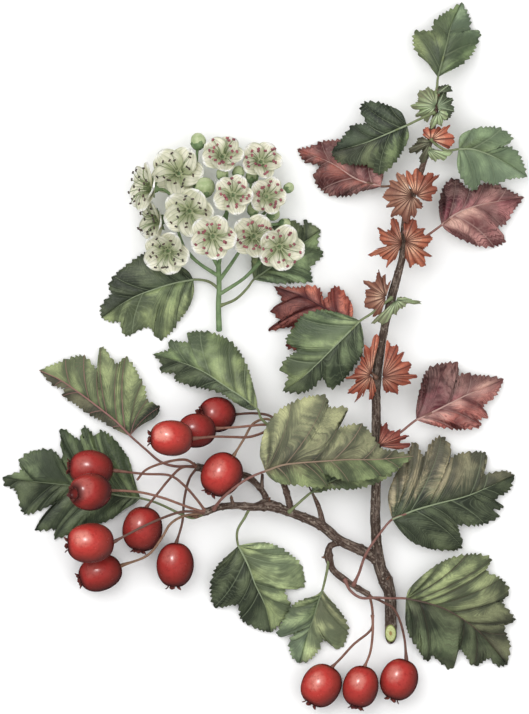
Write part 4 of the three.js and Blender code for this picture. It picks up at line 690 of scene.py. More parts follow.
# ---- Meshes ----
class Shells:
    """Closed skins gathered into one mesh, each a grid of rings with a point closing each end."""

    def __init__(self):
        self.points = []
        self.quads = []
        self.tris = []
        self.values = {}
        self.count = 0

    def add(self, rings, **values):
        """Adds a skin: rings is n x m x 3 in millimetres, wrapped round m. Values are numbers for
        each ring point, or one for all. The faces are turned outward by the skin's signed volume."""
        n, m = rings.shape[:2]
        points = np.vstack([rings.reshape(-1, 3), rings[0].mean(0), rings[-1].mean(0)])
        index = np.arange(n * m).reshape(n, m)
        right = np.roll(index, -1, axis=1)
        quads = np.stack([index[:-1], right[:-1], right[1:], index[1:]], -1).reshape(-1, 4)
        first = np.stack([np.full(m, n * m), right[0], index[0]], -1)
        last = np.stack([np.full(m, n * m + 1), index[-1], right[-1]], -1)
        tris = np.vstack([first, last])
        corners = np.vstack([quads[:, [0, 1, 2]], quads[:, [0, 2, 3]], tris])
        a, b, c = (points[corners[:, k]] - points[0] for k in range(3))
        if np.einsum("ij,ij->", a, np.cross(b, c)) < 0:
            quads, tris = quads[:, ::-1], tris[:, ::-1]
        self.points.append(points)
        self.quads.append(quads + self.count)
        self.tris.append(tris + self.count)
        for name, value in values.items():
            value = np.asarray(value, float)
            size = 1 if value.ndim == 0 or value.shape == (n, m) else value.shape[-1]
            full = np.broadcast_to(value.reshape(value.shape if size > 1 else value.shape + (1,)),
                                   (n, m, size)).reshape(-1, size)
            closing = np.stack([full[:m].mean(0), full[-m:].mean(0)])
            self.values.setdefault(name, []).append(np.vstack([full, closing]))
        self.count += len(points)

    def build(self, name, material, body_slot, replaced=()):
        """Puts the skins into one smooth mesh in metres and sets it on the frame."""
        points = (np.vstack(self.points) + PLAN_TO_FRAME) * MM
        points[:, 2] = np.maximum(points[:, 2], LIFT_OFF_FLOOR * MM)
        quads, tris = np.vstack(self.quads), np.vstack(self.tris)
        mesh = bpy.data.meshes.new(name)
        mesh.vertices.add(len(points))
        mesh.vertices.foreach_set("co", points.astype(np.float32).ravel())
        mesh.loops.add(quads.size + tris.size)
        mesh.loops.foreach_set("vertex_index", np.concatenate([quads.ravel(), tris.ravel()]))
        sizes = np.concatenate([np.full(len(quads), 4), np.full(len(tris), 3)])
        mesh.polygons.add(len(sizes))
        mesh.polygons.foreach_set("loop_start", np.concatenate([[0], np.cumsum(sizes)[:-1]]))
        mesh.polygons.foreach_set("use_smooth", np.ones(len(sizes), bool))
        mesh.update(calc_edges=True)
        for key, parts in self.values.items():
            self.deal_out(mesh, key, np.vstack(parts).astype(np.float32))
        mesh.validate(clean_customdata=False)
        mesh.materials.append(material)
        piece = bpy.data.objects.new(name, mesh)
        bpy.context.scene.collection.objects.link(piece)
        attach(piece, "root")
        if replaced:
            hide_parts(*replaced)

    def deal_out(self, mesh, key, data):
        """Stores a value of each point on the mesh: a number, a tint or three numbers."""
        if data.shape[1] == 1:
            layer = mesh.attributes.new(key, "FLOAT", "POINT")
            layer.data.foreach_set("value", data.ravel())
        elif key.endswith("tint"):
            layer = mesh.attributes.new(key, "FLOAT_COLOR", "POINT")
            layer.data.foreach_set("color", np.hstack([data, np.ones((len(data), 1))]).ravel())
        else:
            layer = mesh.attributes.new(key, "FLOAT_VECTOR", "POINT")
            layer.data.foreach_set("vector", data.ravel())


def rings_along(centres, radii, sides, relief=None):
    """A round limb: at each centre a circle square to the path, its radius times one plus a relief
    worked out from the distance along and the angle round."""
    centres = np.asarray(centres, float)
    side, over = cross_directions(unit(np.gradient(centres, axis=0)), UPWARD)
    angle = full_turn(sides)
    radius = np.broadcast_to(np.asarray(radii, float)[:, None], (len(centres), sides))
    if relief is not None:
        radius = radius * (1 + relief(distance_along(centres)[:, None], angle[None, :]))
    return centres[:, None, :] + radius[..., None] * outward(side[:, None], over[:, None], angle)


def round_ends(centres, radii, steps=3):
    """Adds a few centres past each end whose radii shrink as a quarter circle, for a rounded tip."""
    centres, radii = np.asarray(centres, float), np.asarray(radii, float)
    turn = np.linspace(0, np.pi / 2, steps + 2)[1:-1]
    head = unit(centres[0] - centres[1]) * radii[0] * TIP_LENGTH
    tail = unit(centres[-1] - centres[-2]) * radii[-1] * TIP_LENGTH
    before = centres[0] + head * np.sin(turn[::-1])[:, None]
    after = centres[-1] + tail * np.sin(turn)[:, None]
    return (np.vstack([before, centres, after]),
            np.concatenate([radii[0] * np.cos(turn[::-1]), radii, radii[-1] * np.cos(turn)]))


def lathed(centre, axis, around, heights, girths):
    """A shape turned on its axis: at each height the directions round it times the girth there. A
    girth may also differ round the axis."""
    girths = girths.reshape(len(heights), -1, 1)
    return np.asarray(centre) + heights[:, None, None] * axis + girths * around


def tongue(origin, out, up, length, width, rise, cup, thickness, along, across, blunt):
    """A petal, sepal or scale: s runs from base to tip and c across. It goes out by length times s,
    up by rise times s to the power 1.6 plus cup times c squared, and aside by c times a width that
    swells and closes as a power of a sine. Both faces and the edge make one ring for each s. Gives
    the rings, and s and c at each point."""
    out = unit(out)
    up = unit(np.asarray(up, float) - np.dot(up, out) * out)
    side = np.cross(up, out)
    s = np.linspace(0.001, 0.999, along)
    s = (s - 0.12 * np.sin(2 * np.pi * s) / np.pi)[:, None]
    c = np.concatenate([np.linspace(-1, 1, across), np.linspace(1, -1, across)])
    face = np.repeat([0.5, -0.5], across)
    reach = length * (s - 0.07 * s ** 5 * (1 - np.abs(c)))
    height = rise * s ** 1.6 + cup * c ** 2 * np.sin(np.pi * s) ** 0.5
    height = height + thickness * face * (1 - 0.8 * c ** 6)
    aside = c * width * np.sin(np.pi * s ** 0.72) ** blunt
    rings = origin + reach[..., None] * out + height[..., None] * up + aside[..., None] * side
    return (rings, *np.broadcast_arrays(s, c))


# ---- Leaves ----
def nearest_on_rib(rib, plan):
    """For plan points, the share along the midrib of its nearest point, and the distance to it."""
    away = np.linalg.norm(plan[..., None, :] - rib, axis=-1)
    return away.argmin(-1) / (len(rib) - 1), away.min(-1)


def blade_height(height, share, droop):
    """Height of a blade's middle surface: from base to tip with a hump between, less the droop, and
    held above the surface it lies on by a soft floor."""
    base, tip, hump = height[:3]
    z = base + (tip - base) * (0.6 * share + 0.4 * smooth(share)) + hump * 4 * share * (1 - share) - droop
    over = z - FLOOR_HEIGHT
    return FLOOR_HEIGHT + (over + np.sqrt(over * over + FLOOR_SOFTNESS ** 2)) / 2 - FLOOR_SOFTNESS / 4


def toothed(margin, depth, pitch, side, fade):
    """A margin with forward teeth: each point moves outward by depth times a saw wave of its
    distance along, whose slow rise and quick fall point the teeth to the tip and whose pitch sways."""
    turns = distance_along(margin) / pitch
    phase = np.mod(turns + 0.3 * np.sin(1.3 * turns + margin[0, 0]), 1)
    wave = np.where(phase < TOOTH_RISE, phase / TOOTH_RISE, (1 - phase) / (1 - TOOTH_RISE))
    ahead = unit(np.gradient(margin, axis=0))
    outside = np.stack([ahead[:, 1], -ahead[:, 0]], 1) * side
    return margin + outside * (depth * (wave - 0.4) * fade)[:, None]


def vein_places(control, far):
    """The margin steps that main side veins run to: each lobe tip and sinus, with one more where
    the margin runs on plainly for long."""
    slope = np.diff(far)
    turns = [0, *(np.flatnonzero(slope[:-1] * slope[1:] < 0) + 1), len(far) - 1]
    places = []
    for first, last in zip(turns[:-1], turns[1:]):
        parts = max(1, round(np.linalg.norm(control[last] - control[first]) / VEIN_SPACING))
        reach = (last - first) * MARGIN_STEPS
        places += [first * MARGIN_STEPS + reach * part / parts for part in range(parts)]
    return np.array(places + [(len(far) - 1) * MARGIN_STEPS])


def line_starts(rib, margin):
    """The share along the midrib where the line to each margin step starts: behind the step by a
    share of its distance, and evened out so that no two lines cross."""
    share, far = nearest_on_rib(rib, margin)
    start = share - 0.8 * far / distance_along(rib)[-1]
    start[0], start[-1] = 0, 1
    start = np.clip(start, 0, 1)
    start = (np.maximum.accumulate(start) + np.minimum.accumulate(start[::-1])[::-1]) / 2
    start = np.convolve(np.pad(start, 8, mode="edge"), np.ones(17) / 17, mode="valid")
    start = np.maximum.accumulate(np.clip(start, 0, 1))
    start[0], start[-1] = 0, 1
    return start


def half_blade(leaf, points, droop, sizes):
    """One side of a leaf: lines run from the midrib forward to each margin step. A point is the mix
    of its rib point and margin point by u, bowed forward by a share of the line's length times
    u(1 - u); its height is the blade's height there, swelled between the veins by a rounded wave, and
    each line closes over the edge and back along the underside. Gives the rings, and at each point
    its place between the veins, whether it is below, and its share along the midrib."""
    rib = curve_through(leaf["rib"], per=24)
    control = np.vstack([leaf["rib"][0], points, leaf["rib"][-1]]).astype(float)
    far = nearest_on_rib(rib, control)[1]
    margin = curve_through(control, per=MARGIN_STEPS)
    start = line_starts(rib, margin)
    inner = at_shares(rib, start)
    run = np.linspace(0, 1, len(margin))
    fade = smooth((run - 0.12) / 0.2) * smooth((1 - run) / 0.04)
    side = -turning(np.vstack([rib, margin[::-1]]))
    outer = toothed(margin, sizes.tooth_depth / MM, sizes.tooth_pitch / MM, side, fade)
    u = np.linspace(0, 1, LINE_STEPS) ** 0.9
    heading = at_shares(unit(np.gradient(rib, axis=0)), start)
    bow = sizes.vein_bow * np.linalg.norm(outer - inner, axis=1)[:, None] * heading
    across = u[:, None]
    plan = inner[:, None] * (1 - across) + outer[:, None] * across + bow[:, None] * 4 * across * (1 - across)

    along, away = nearest_on_rib(rib, plan)
    middle = blade_height(leaf["height"], along, droop * np.minimum(away / far.max(), 1.1) ** 2)
    places = vein_places(control, far)
    vein = np.interp(np.arange(len(margin)), places, np.arange(len(places)))
    at = np.clip(np.round(places).astype(int), 0, len(margin) - 1)
    spread = np.linalg.norm(np.diff(plan[at], axis=0), axis=2)
    gap = np.stack([np.interp(vein, np.arange(len(spread)) + 0.5, column) for column in spread.T], 1)
    in_panel = np.mod(vein, 1)[:, None]
    swell = np.minimum(0.22 * gap, 1.5) * sizes.quilt_height / MM * (4 * in_panel * (1 - in_panel)) ** 0.7
    swell = swell * (1 - u ** 4) * smooth(u / 0.12)
    if leaf["slot"] == "leaf_pale":
        swell = UNDERSIDE_SWELL * swell
    ripple = 0.22 * np.sin(vein * 2.1 + len(points))[:, None] * u ** 3
    middle = middle + swell + ripple * (middle > 1)
    thick = sizes.blade_thickness / MM * (1 - 0.55 * u ** 8) / 2
    rings = both_faces(np.dstack([plan, middle + thick]), np.dstack([plan, middle - thick]))
    place = np.dstack(np.broadcast_arrays(u, vein[:, None], gap))
    below = both_faces(np.zeros(gap.shape), np.ones(gap.shape))
    return rings, both_faces(place, place), below, both_faces(along, along)


def leaf_shells(leaf, sizes):
    """A whole leaf: its two half blades, with the midrib as a slim tube along the join. The tints of
    a half near its rib and at its margin pass into its tip's tint by the smoothed share of the blade's
    length, the margin less than the rest and least on a red leaf, and at a fold into the fold's tint
    toward the base."""
    shells = Shells()
    vein = tint(TINTS[leaf["tints"][4]])
    kept = 0.35 if leaf["slot"] == "leaf_red" else 0.8
    for side, points in enumerate((leaf["a"], leaf["b"])):
        near, far = (tint(TINTS[name]) for name in leaf["tints"][2 * side:2 * side + 2])
        end = tint(TINTS[leaf["tips"][side]])
        rings, place, below, along = half_blade(leaf, points, leaf["height"][3 + side], sizes)
        turned = smooth((along - 0.25) / 0.7)[:, :, None]
        near, far = near + (end - near) * turned, far + (end - far) * turned * kept
        if side == 0 and "fold" in leaf:
            folded = smooth((0.1 - along) / 0.06)[:, :, None]
            near, far = (part + (tint(TINTS[leaf["fold"]]) - part) * folded for part in (near, far))
        shells.add(rings, tint=near, edge_tint=far, vein_tint=vein, place=place, below=below, rib=0.0,
                   shading=leaf.get("shading", 1.0))
    rib = curve_through(leaf["rib"], per=16)
    t = np.linspace(0, 1, len(rib))
    centres = np.column_stack([rib, blade_height(leaf["height"], t, 0) + 0.1])
    # The midrib's place is the middle of one wide panel, which no side vein crosses.
    rings = rings_along(*round_ends(centres, 0.34 - 0.24 * t, steps=2), sides=8)
    shells.add(rings, tint=vein, edge_tint=vein, vein_tint=vein, place=np.array([0.5, 0.5, 9.0]),
               below=0.0, rib=1.0, shading=0.0)
    return shells


def bract_shell(shells, bract, order):
    """A stipule: lines fan out from its foot to a toothed rim. Along a line it rises from the foot to
    the rim's height by a power of u, with a hump of the sine of u. A wave across the lines flutes it
    more and more toward the rim, which is notched between its crests. A rib follows each crest and
    each hollow."""
    foot, rim_height, rim, kind = bract
    foot, rim = np.array(foot, float), np.array(rim, float)
    base = foot[:2]
    ends = base + 0.2 * (rim[[0, -1]] - base)
    outer = curve_through(np.vstack([ends[0], rim, ends[1]]), per=6)
    travelled = distance_along(outer)
    run = np.linspace(0, 1, len(outer))
    fade = smooth(run / 0.1) * smooth((1 - run) / 0.1)
    outer = toothed(outer, depth=0.6, pitch=1.05, side=turning(outer), fade=fade)
    u = np.linspace(0.04, 1, 11)
    pitch = travelled[-1] / max(3, round(travelled[-1] / FLUTE_PITCH))
    fold = travelled / pitch
    fold = fold + 0.16 * np.sin(2 * np.pi * fold / 2.6 + foot[0])
    notch = 0.2 + 0.09 * np.sin(1.9 * fold + foot[1])
    outer = outer + (base - outer) * (notch * fade * np.sin(np.pi * fold) ** 2)[:, None]
    plan = base * (1 - u)[:, None] + outer[:, None] * u[:, None]
    flute = np.cos(2 * np.pi * fold)[:, None] * u ** 1.3
    z = foot[2] + (rim_height - foot[2]) * u ** 1.5 + 0.8 * np.sin(np.pi * u ** 0.8)
    z = z + 0.16 * flute + 0.06 * order
    thick = 0.16 * (1 - 0.5 * u ** 6)
    place = np.dstack(np.broadcast_arrays(u, 2 * fold[:, None], pitch / 2 * u))
    body, edge, rib = (tint(name) for name in STIPULE_TINTS[kind])
    shells.add(both_faces(np.dstack([plan, z + thick]), np.dstack([plan, z - thick])),
               tint=body, edge_tint=edge, vein_tint=rib, place=both_faces(place, place),
               below=both_faces(np.zeros(z.shape), np.ones(z.shape)), rib=0.0, shading=1.0)


# ---- Materials ----
# Sockets of the Mix node that mixes colours: they share their names with those for plain numbers.
SHARE, UNDER, OVER, MIXED = 0, 6, 7, 2


def fill_inputs(tree, node, inputs):
    """Gives each input of a node its link or its plain value."""
    for key, value in inputs.items():
        if isinstance(value, bpy.types.NodeSocket):
            tree.links.new(value, node.inputs[key])
        else:
            node.inputs[key].default_value = value


def add_node(tree, kind, inputs=None, **settings):
    """Adds a shader node with its settings, links and values, and gives its outputs."""
    node = tree.nodes.new("ShaderNode" + kind)
    for key, value in settings.items():
        setattr(node, key, value)
    fill_inputs(tree, node, inputs or {})
    return node.outputs


def new_material(name):
    """An empty material, and the function that adds a node to it."""
    material = bpy.data.materials.new(name)
    material.use_nodes = True
    return material, functools.partial(add_node, material.node_tree)


def surfaced(material, colour, roughness, specular, height=0.0, rise_mm=0.0, more=None):
    """Gives a material's shader its colour, roughness and specular level, bump from a height whose full
    rise is in millimetres, and more inputs by name. Each is a link or a plain value."""
    tree = material.node_tree
    inputs = {"Base Color": colour, "Roughness": roughness, "Specular IOR Level": specular, **(more or {})}
    if rise_mm:
        bump = {"Height": height, "Strength": 1.0, "Distance": rise_mm * MM}
        inputs["Normal"] = add_node(tree, "Bump", bump)["Normal"]
    fill_inputs(tree, tree.nodes["Principled BSDF"], inputs)
    return material


def sized(add, kind, size_mm, inputs=None, **settings):
    """A texture on object coordinates whose features are about size_mm across; gives its outputs."""
    place = add("TexCoord")["Object"]
    return add(kind, {"Vector": place, "Scale": 1 / (size_mm * MM), **(inputs or {})}, **settings)


def clouded(add, size_mm, detail=3.0, roughness=0.5):
    """Irregular clouds or grain of a real size, from 0 to 1."""
    return sized(add, "TexNoise", size_mm, {"Detail": detail, "Roughness": roughness})["Fac"]


def weighed(add, start, *parts):
    """A start plus each pattern times its weight; each of them is a link or a plain value."""
    for pattern, weight in parts:
        start = add("Math", {0: pattern, 1: weight, 2: start}, operation="MULTIPLY_ADD")[0]
    return start


def cover(add, pattern, start, full, strength=1.0):
    """How much a tint covers: nothing where its pattern is at the start level, eased up to its strength
    where the pattern is full."""
    levels = {"Value": pattern, "From Min": start, "From Max": full}
    return weighed(add, 0.0, (add("MapRange", levels, interpolation_type="SMOOTHSTEP")[0], strength))


def layered(add, under, *layers):
    """Tints laid one over another: for each, the share it covers, the tint and how it is blended, which
    is plainly if not said. Each share and tint is a link or a plain value."""
    for share, over, *blend in layers:
        settings = {"data_type": "RGBA", "blend_type": blend[0] if blend else "MIX"}
        under = add("Mix", {SHARE: share, UNDER: under, OVER: over}, **settings)[MIXED]
    return under


def leaf_cuticle(name, roughness, mottle, contrast, vein_share, fine_share=0.18,
                 light_gain=(2.1, 2.05, 1.85), dark_gain=(0.44, 0.46, 0.47), rim_start=0.62, hatching=0.25):
    """Leaf blade: a waxy cuticle over soft tissue. The tint is dealt out by half blade. Each panel between
    two veins gets painted shade under the vein and painted light toward its crown, and is streaked along the
    veins; main veins, fine veins and a net of the finest ones are drawn over it, and the wax gives a low
    broad sheen."""
    material, add = new_material(name)
    inner, outer, vein_tint = (add("Attribute", attribute_name=key)["Color"]
                               for key in ("tint", "edge_tint", "vein_tint"))
    rib, below, shading = (add("Attribute", attribute_name=key)["Fac"]
                           for key in ("rib", "below", "shading"))
    u, line, gap = add("SeparateXYZ", {0: add("Attribute", attribute_name="place")["Vector"]})
    in_panel = add("Math", {0: line}, operation="FRACT")[0]
    across_mm = weighed(add, 0.0, (line, gap))
    leaf_plane = add("CombineXYZ", {"X": weighed(add, 0.0, (u, VEIN_LENGTH)), "Y": across_mm})[0]

    def drawn_out(stretch, detail, roughness):
        """Streaks along the veins, whose length and width in millimetres are one over the stretch."""
        drawn = {"Vector": add("Mapping", {"Vector": leaf_plane, "Scale": stretch})[0], "Scale": 1.0}
        return add("TexNoise", {**drawn, "Detail": detail, "Roughness": roughness})["Fac"]

    # Streaks about 8 mm long and 1.3 mm wide.
    streak = drawn_out((0.12, 0.75, 1.0), 4.0, 0.6)
    # Main veins, by the distance in millimetres to the nearest as a share of the vein's half width.
    off = add("Math", {0: in_panel, 1: weighed(add, 1.0, (in_panel, -1.0))}, operation="MINIMUM")[0]
    widths = {0: weighed(add, 0.0, (off, gap)), 1: weighed(add, 0.28, (u, -0.15))}
    vein = cover(add, add("Math", widths, operation="DIVIDE")[0], 1.0, 0.2)
    # Fine veins a millimetre apart that sway with the streaks, and a net of the finest ones, whose
    # cells are drawn 1 mm across, twice their real size, so that they show.
    sway = weighed(add, 0.0, (streak, 0.35), (across_mm, 0.9), (u, 2.6))
    fine = cover(add, add("Math", {0: sway, 1: 0.5}, operation="PINGPONG")[0], 0.16, 0.02)
    net = cover(add, sized(add, "TexVoronoi", 1.0, feature="DISTANCE_TO_EDGE")["Distance"], 0.16, 0.0)
    # The margin's tint runs in along the streaks.
    edge = cover(add, weighed(add, u, (streak, 1.4)), rim_start + 0.15, rim_start + 0.75)
    body = layered(add, inner, (edge, outer))
    # Painted shade under each vein and painted light crowning toward the next, with light and dark streaks
    # and clouds.
    bulge = add("Math", {0: in_panel, 1: 1.4}, operation="POWER")[0]
    crown = add("Math", {0: weighed(add, 0.0, (bulge, math.pi))}, operation="SINE")[0]
    lit = weighed(add, -1.42, (streak, 0.9), (clouded(add, 7.0, 2.0), 1.9), (crown, 0.55))
    shading = weighed(add, 0.0, (shading, contrast))
    light, dark = (layered(add, body, (shading, (*gain, 1), "MULTIPLY")) for gain in (light_gain, dark_gain))
    # Thin dark hatching along the veins, about 3 mm long and 0.5 mm wide, stronger toward the margin.
    hatch_share = weighed(add, 0.4 * hatching, (u, 0.6 * hatching))
    hatch = cover(add, drawn_out((0.3, 2.1, 1.0), 2.0, 0.5), 0.48, 0.62, hatch_share)
    hatch_tint = layered(add, body, (1.0, (*(0.8 * part for part in dark_gain), 1), "MULTIPLY"))
    colour = layered(
        add, dark,
        (cover(add, lit, 0.0, 0.95), light),
        (cover(add, clouded(add, 6.0, 4.0, 0.6), 0.36, 0.66, mottle), vein_tint),
        (weighed(add, 0.0, (net, 0.16)), dark),
        (hatch, hatch_tint),
        (weighed(add, 0.0, (fine, fine_share)), vein_tint),
        (weighed(add, 0.0, (vein, vein_share)), vein_tint),
        (rib, vein_tint),
        (weighed(add, 0.0, (below, 0.4)), linear("a3aa88")),
    )
    wax = weighed(add, roughness - 0.1, (clouded(add, 2.5), 0.2))
    relief = weighed(add, 0.0, (fine, -0.2), (vein, -0.7), (net, -0.25))
    return surfaced(material, colour, wax, specular=0.3, height=relief, rise_mm=0.14)


def living_bark(cork):
    """Bark of a young branch: thin grey-brown cork with lengthwise cracks, pale scurf and small
    corky pores, dry and matt. Bark on young wood is redder."""
    material, add = new_material("grey-brown cork bark")
    young = add("Attribute", attribute_name="young")["Fac"]
    along = {"Vector": add("Attribute", attribute_name="place")["Vector"]}
    crack = add("TexNoise", {**along, "Scale": 1.0, "Detail": 4.0, "Roughness": 0.65})["Fac"]
    scurf = clouded(add, 0.7, 3.0, 0.7)
    # Pores about 0.5 mm across and 1.9 mm apart.
    pore = cover(add, sized(add, "TexVoronoi", 1.9)["Distance"], 0.24, 0.12)
    colour = layered(
        add, tuple(cork),
        (cover(add, clouded(add, 4.0, 4.0, 0.6), 0.35, 0.65), linear("87796d")),
        (cover(add, crack, 0.62, 0.44), linear("3f322b")),
        (cover(add, scurf, 0.55, 0.72, 0.55), linear("ada296")),
        (weighed(add, 0.0, (pore, 0.5)), linear("b3a898")),
        (weighed(add, 0.0, (young, 0.4)), linear("6d4a40")),
    )
    relief = weighed(add, 0.0, (scurf, 0.5), (crack, 1.0), (pore, 0.3))
    return surfaced(material, colour, roughness=0.85, specular=0.25, height=relief, rise_mm=0.35)


def cut_wood():
    """Freshly cut green wood: pale yellow-green, wet-looking, with a darker ring under the bark and
    a brownish pith."""
    material, add = new_material("fresh cut green wood")
    radius = add("SeparateXYZ", {0: add("Attribute", attribute_name="place")["Vector"]})["X"]
    grain = clouded(add, 0.5, 3.0, 0.6)
    colour = layered(
        add, linear("d9dfa6"),
        (cover(add, grain, 0.35, 0.7), linear("c3cc86")),
        # From the pith out to the ring under the bark and the bark's own edge.
        (cover(add, radius, 0.3, 0.2), linear("a98e5c")),
        (cover(add, radius, 0.78, 0.86), linear("8fa35a")),
        (cover(add, radius, 0.9, 0.96), linear("6d5744")),
    )
    return surfaced(material, colour, roughness=0.5, specular=0.4, height=grain, rise_mm=0.05)


def haw_skin(red):
    """Haw: thin waxy skin over mealy flesh, glossy, with painted light and shade: deep red on the top that
    faces the light, with a painted pink highlight there, and darker down its sides by painted shade. It is
    also darker toward the calyx, and has small pale pores. The wax gives sharp small lights."""
    material, add = new_material("waxy red haw skin")
    along, depth, light_facing = add("SeparateXYZ", {0: add("Attribute", attribute_name="place")["Vector"]})
    # How far each point faces the light, with clouds in it: it sets the painted light and shade below.
    sun = weighed(add, light_facing, (clouded(add, 5.0, 4.0, 0.6), 0.3))
    # Pores about 0.2 mm across and 0.9 mm apart.
    pore = cover(add, sized(add, "TexVoronoi", 0.9)["Distance"], 0.17, 0.08)
    colour = layered(
        # Painted shade down the sides, deep red where the light falls, and a painted pink highlight on the
        # top, weaker on a haw with deeper red.
        add, linear("5c3634"),
        (cover(add, sun, 0.1, 0.77), linear("95362f")),
        (cover(add, sun, 0.63, 1.07), tuple(red)),
        (cover(add, sun, 0.99, 1.21, weighed(add, 0.72, (depth, -0.6))), linear("f0a292")),
        (cover(add, clouded(add, 1.1, 3.0, 0.7), 0.48, 0.72, 0.4), linear("7c2422")),
        (depth, (0.55, 0.56, 0.62, 1), "MULTIPLY"),
        # The calyx end and the dimple at the stalk.
        (cover(add, along, 0.72, 1.0), linear("40201f")),
        (cover(add, along, -0.85, -1.0), linear("5a1a16")),
        (weighed(add, 0.0, (pore, 0.12)), linear("c06a58")),
    )
    wax = weighed(add, 0.21, (clouded(add, 3.0), 0.1))
    relief = weighed(add, pore, (clouded(add, 1.6), 0.8))
    return surfaced(material, colour, wax, specular=0.4, height=relief, rise_mm=0.02)


def soft_skin(name, first, second, patch_mm, roughness, specular=0.3):
    """Soft plant skin in two close shades, patched at a real size, with a fine grain."""
    material, add = new_material(name)
    patch = cover(add, clouded(add, patch_mm, 3.0, 0.55), 0.35, 0.68)
    colour = layered(add, linear(first), (patch, linear(second)))
    grain = clouded(add, patch_mm * 0.3)
    return surfaced(material, colour, roughness, specular, height=grain, rise_mm=0.04)


def stalk_skin(name, roughness, grain_mm):
    """Stalk skin, smooth and a little glossy, in a tint dealt out by stalk, with darker flecks."""
    material, add = new_material(name)
    fleck = cover(add, clouded(add, grain_mm, 3.0, 0.6), 0.42, 0.7)
    dark = (weighed(add, 0.0, (fleck, 0.6)), (0.55, 0.45, 0.42, 1), "MULTIPLY")
    colour = layered(add, add("Attribute", attribute_name="tint")["Color"], dark)
    return surfaced(material, colour, roughness, specular=0.35, height=fleck, rise_mm=0.05)


def petal_velvet(cream):
    """Petal: thin translucent tissue, cream-white with a green-cream claw and faint veins; matt
    with a soft sheen from its fine cells."""
    material, add = new_material("cream petal tissue")
    along, across, _ = add("SeparateXYZ", {0: add("Attribute", attribute_name="place")["Vector"]})
    aside = add("Math", {0: across}, operation="ABSOLUTE")[0]
    # Six faint veins that fan out from the claw, and painted shade, a greyer edge, along each side where the
    # petals overlap.
    fan = add("Math", {0: weighed(add, 0.0, (across, 19.0))}, operation="SINE")[0]
    colour = layered(
        add, tuple(cream),
        (cover(add, clouded(add, 2.4, 3.0, 0.55), 0.35, 0.7), linear("d3d3b8")),
        (cover(add, aside, 0.8, 0.98, 0.5), linear("a9ae94")),
        (cover(add, along, 0.82, 0.97), linear("f7f6f0")),
        (cover(add, along, 0.5, 0.06), linear("b4ba90")),
        (cover(add, fan, 0.6, 1.0, 0.4), linear("9ba084")),
    )
    thin = {"Subsurface Weight": 0.15, "Subsurface Radius": (0.001, 0.001, 0.0008), "Sheen Weight": 0.15}
    return surfaced(material, colour, roughness=0.6, specular=0.25, height=fan, rise_mm=0.03, more=thin)


# ---- Sizes and colours that a user would change ----
class HawthornSizes(bpy.types.PropertyGroup):
    """Sizes of the plant's fine parts."""

    blade_thickness: bpy.props.FloatProperty(
        name="Blade thickness", description="Thickness of a leaf blade", default=0.00034, unit="LENGTH")
    tooth_depth: bpy.props.FloatProperty(
        name="Tooth depth", description="How far a leaf's teeth stand out", default=0.0009, unit="LENGTH")
    tooth_pitch: bpy.props.FloatProperty(
        name="Tooth pitch", description="Distance from one tooth to the next", default=0.0016, unit="LENGTH")
    vein_bow: bpy.props.FloatProperty(
        name="Vein bow", description="How far a side vein bows forward, as a share of its length",
        default=0.07, min=0, max=0.2, subtype="FACTOR")
    quilt_height: bpy.props.FloatProperty(
        name="Quilting", description="Swell of the blade between its veins", default=0.0005, unit="LENGTH")
    bark_relief: bpy.props.FloatProperty(
        name="Bark relief", description="Share of the radius that bark ridges stand out", default=0.07,
        min=0, max=0.3, subtype="FACTOR")
    stamens: bpy.props.IntProperty(
        name="Stamens", description="Stamens in each open flower", default=18, min=5, max=30)
    petal_thickness: bpy.props.FloatProperty(
        name="Petal thickness", description="Thickness of a petal", default=0.0002, unit="LENGTH")


class HawthornColours(bpy.types.PropertyGroup):
    """Main colours of the bark, the haws and the petals."""

    bark: bpy.props.FloatVectorProperty(
        name="Bark", description="Colour of the bark under its scurf and cracks", subtype="COLOR", size=4,
        default=linear("62534a"))
    # The haw colour is laid where the painted light falls on a haw's top; painted shade darkens its sides.
    haw: bpy.props.FloatVectorProperty(
        name="Haws", description="Colour of a haw where the light ripened it", subtype="COLOR", size=4,
        default=linear("c23e38"))
    petal: bpy.props.FloatVectorProperty(
        name="Petals", description="Colour of a petal between its claw and its rim", subtype="COLOR", size=4,
        default=linear("efecd8"))


class HawthornStage(bpy.types.PropertyGroup):
    """The floor, the light and the camera."""

    camera_height: bpy.props.FloatProperty(
        name="Camera height", description="Height of the camera over the plant", default=2.2, unit="LENGTH")
    view_length: bpy.props.FloatProperty(
        name="View length", description="Length of plant that fills the picture's long side", default=0.2142,
        unit="LENGTH")
    floor_colour: bpy.props.FloatVectorProperty(
        name="Floor colour", description="Colour of the floor", subtype="COLOR", size=4,
        default=linear("ffffff"))


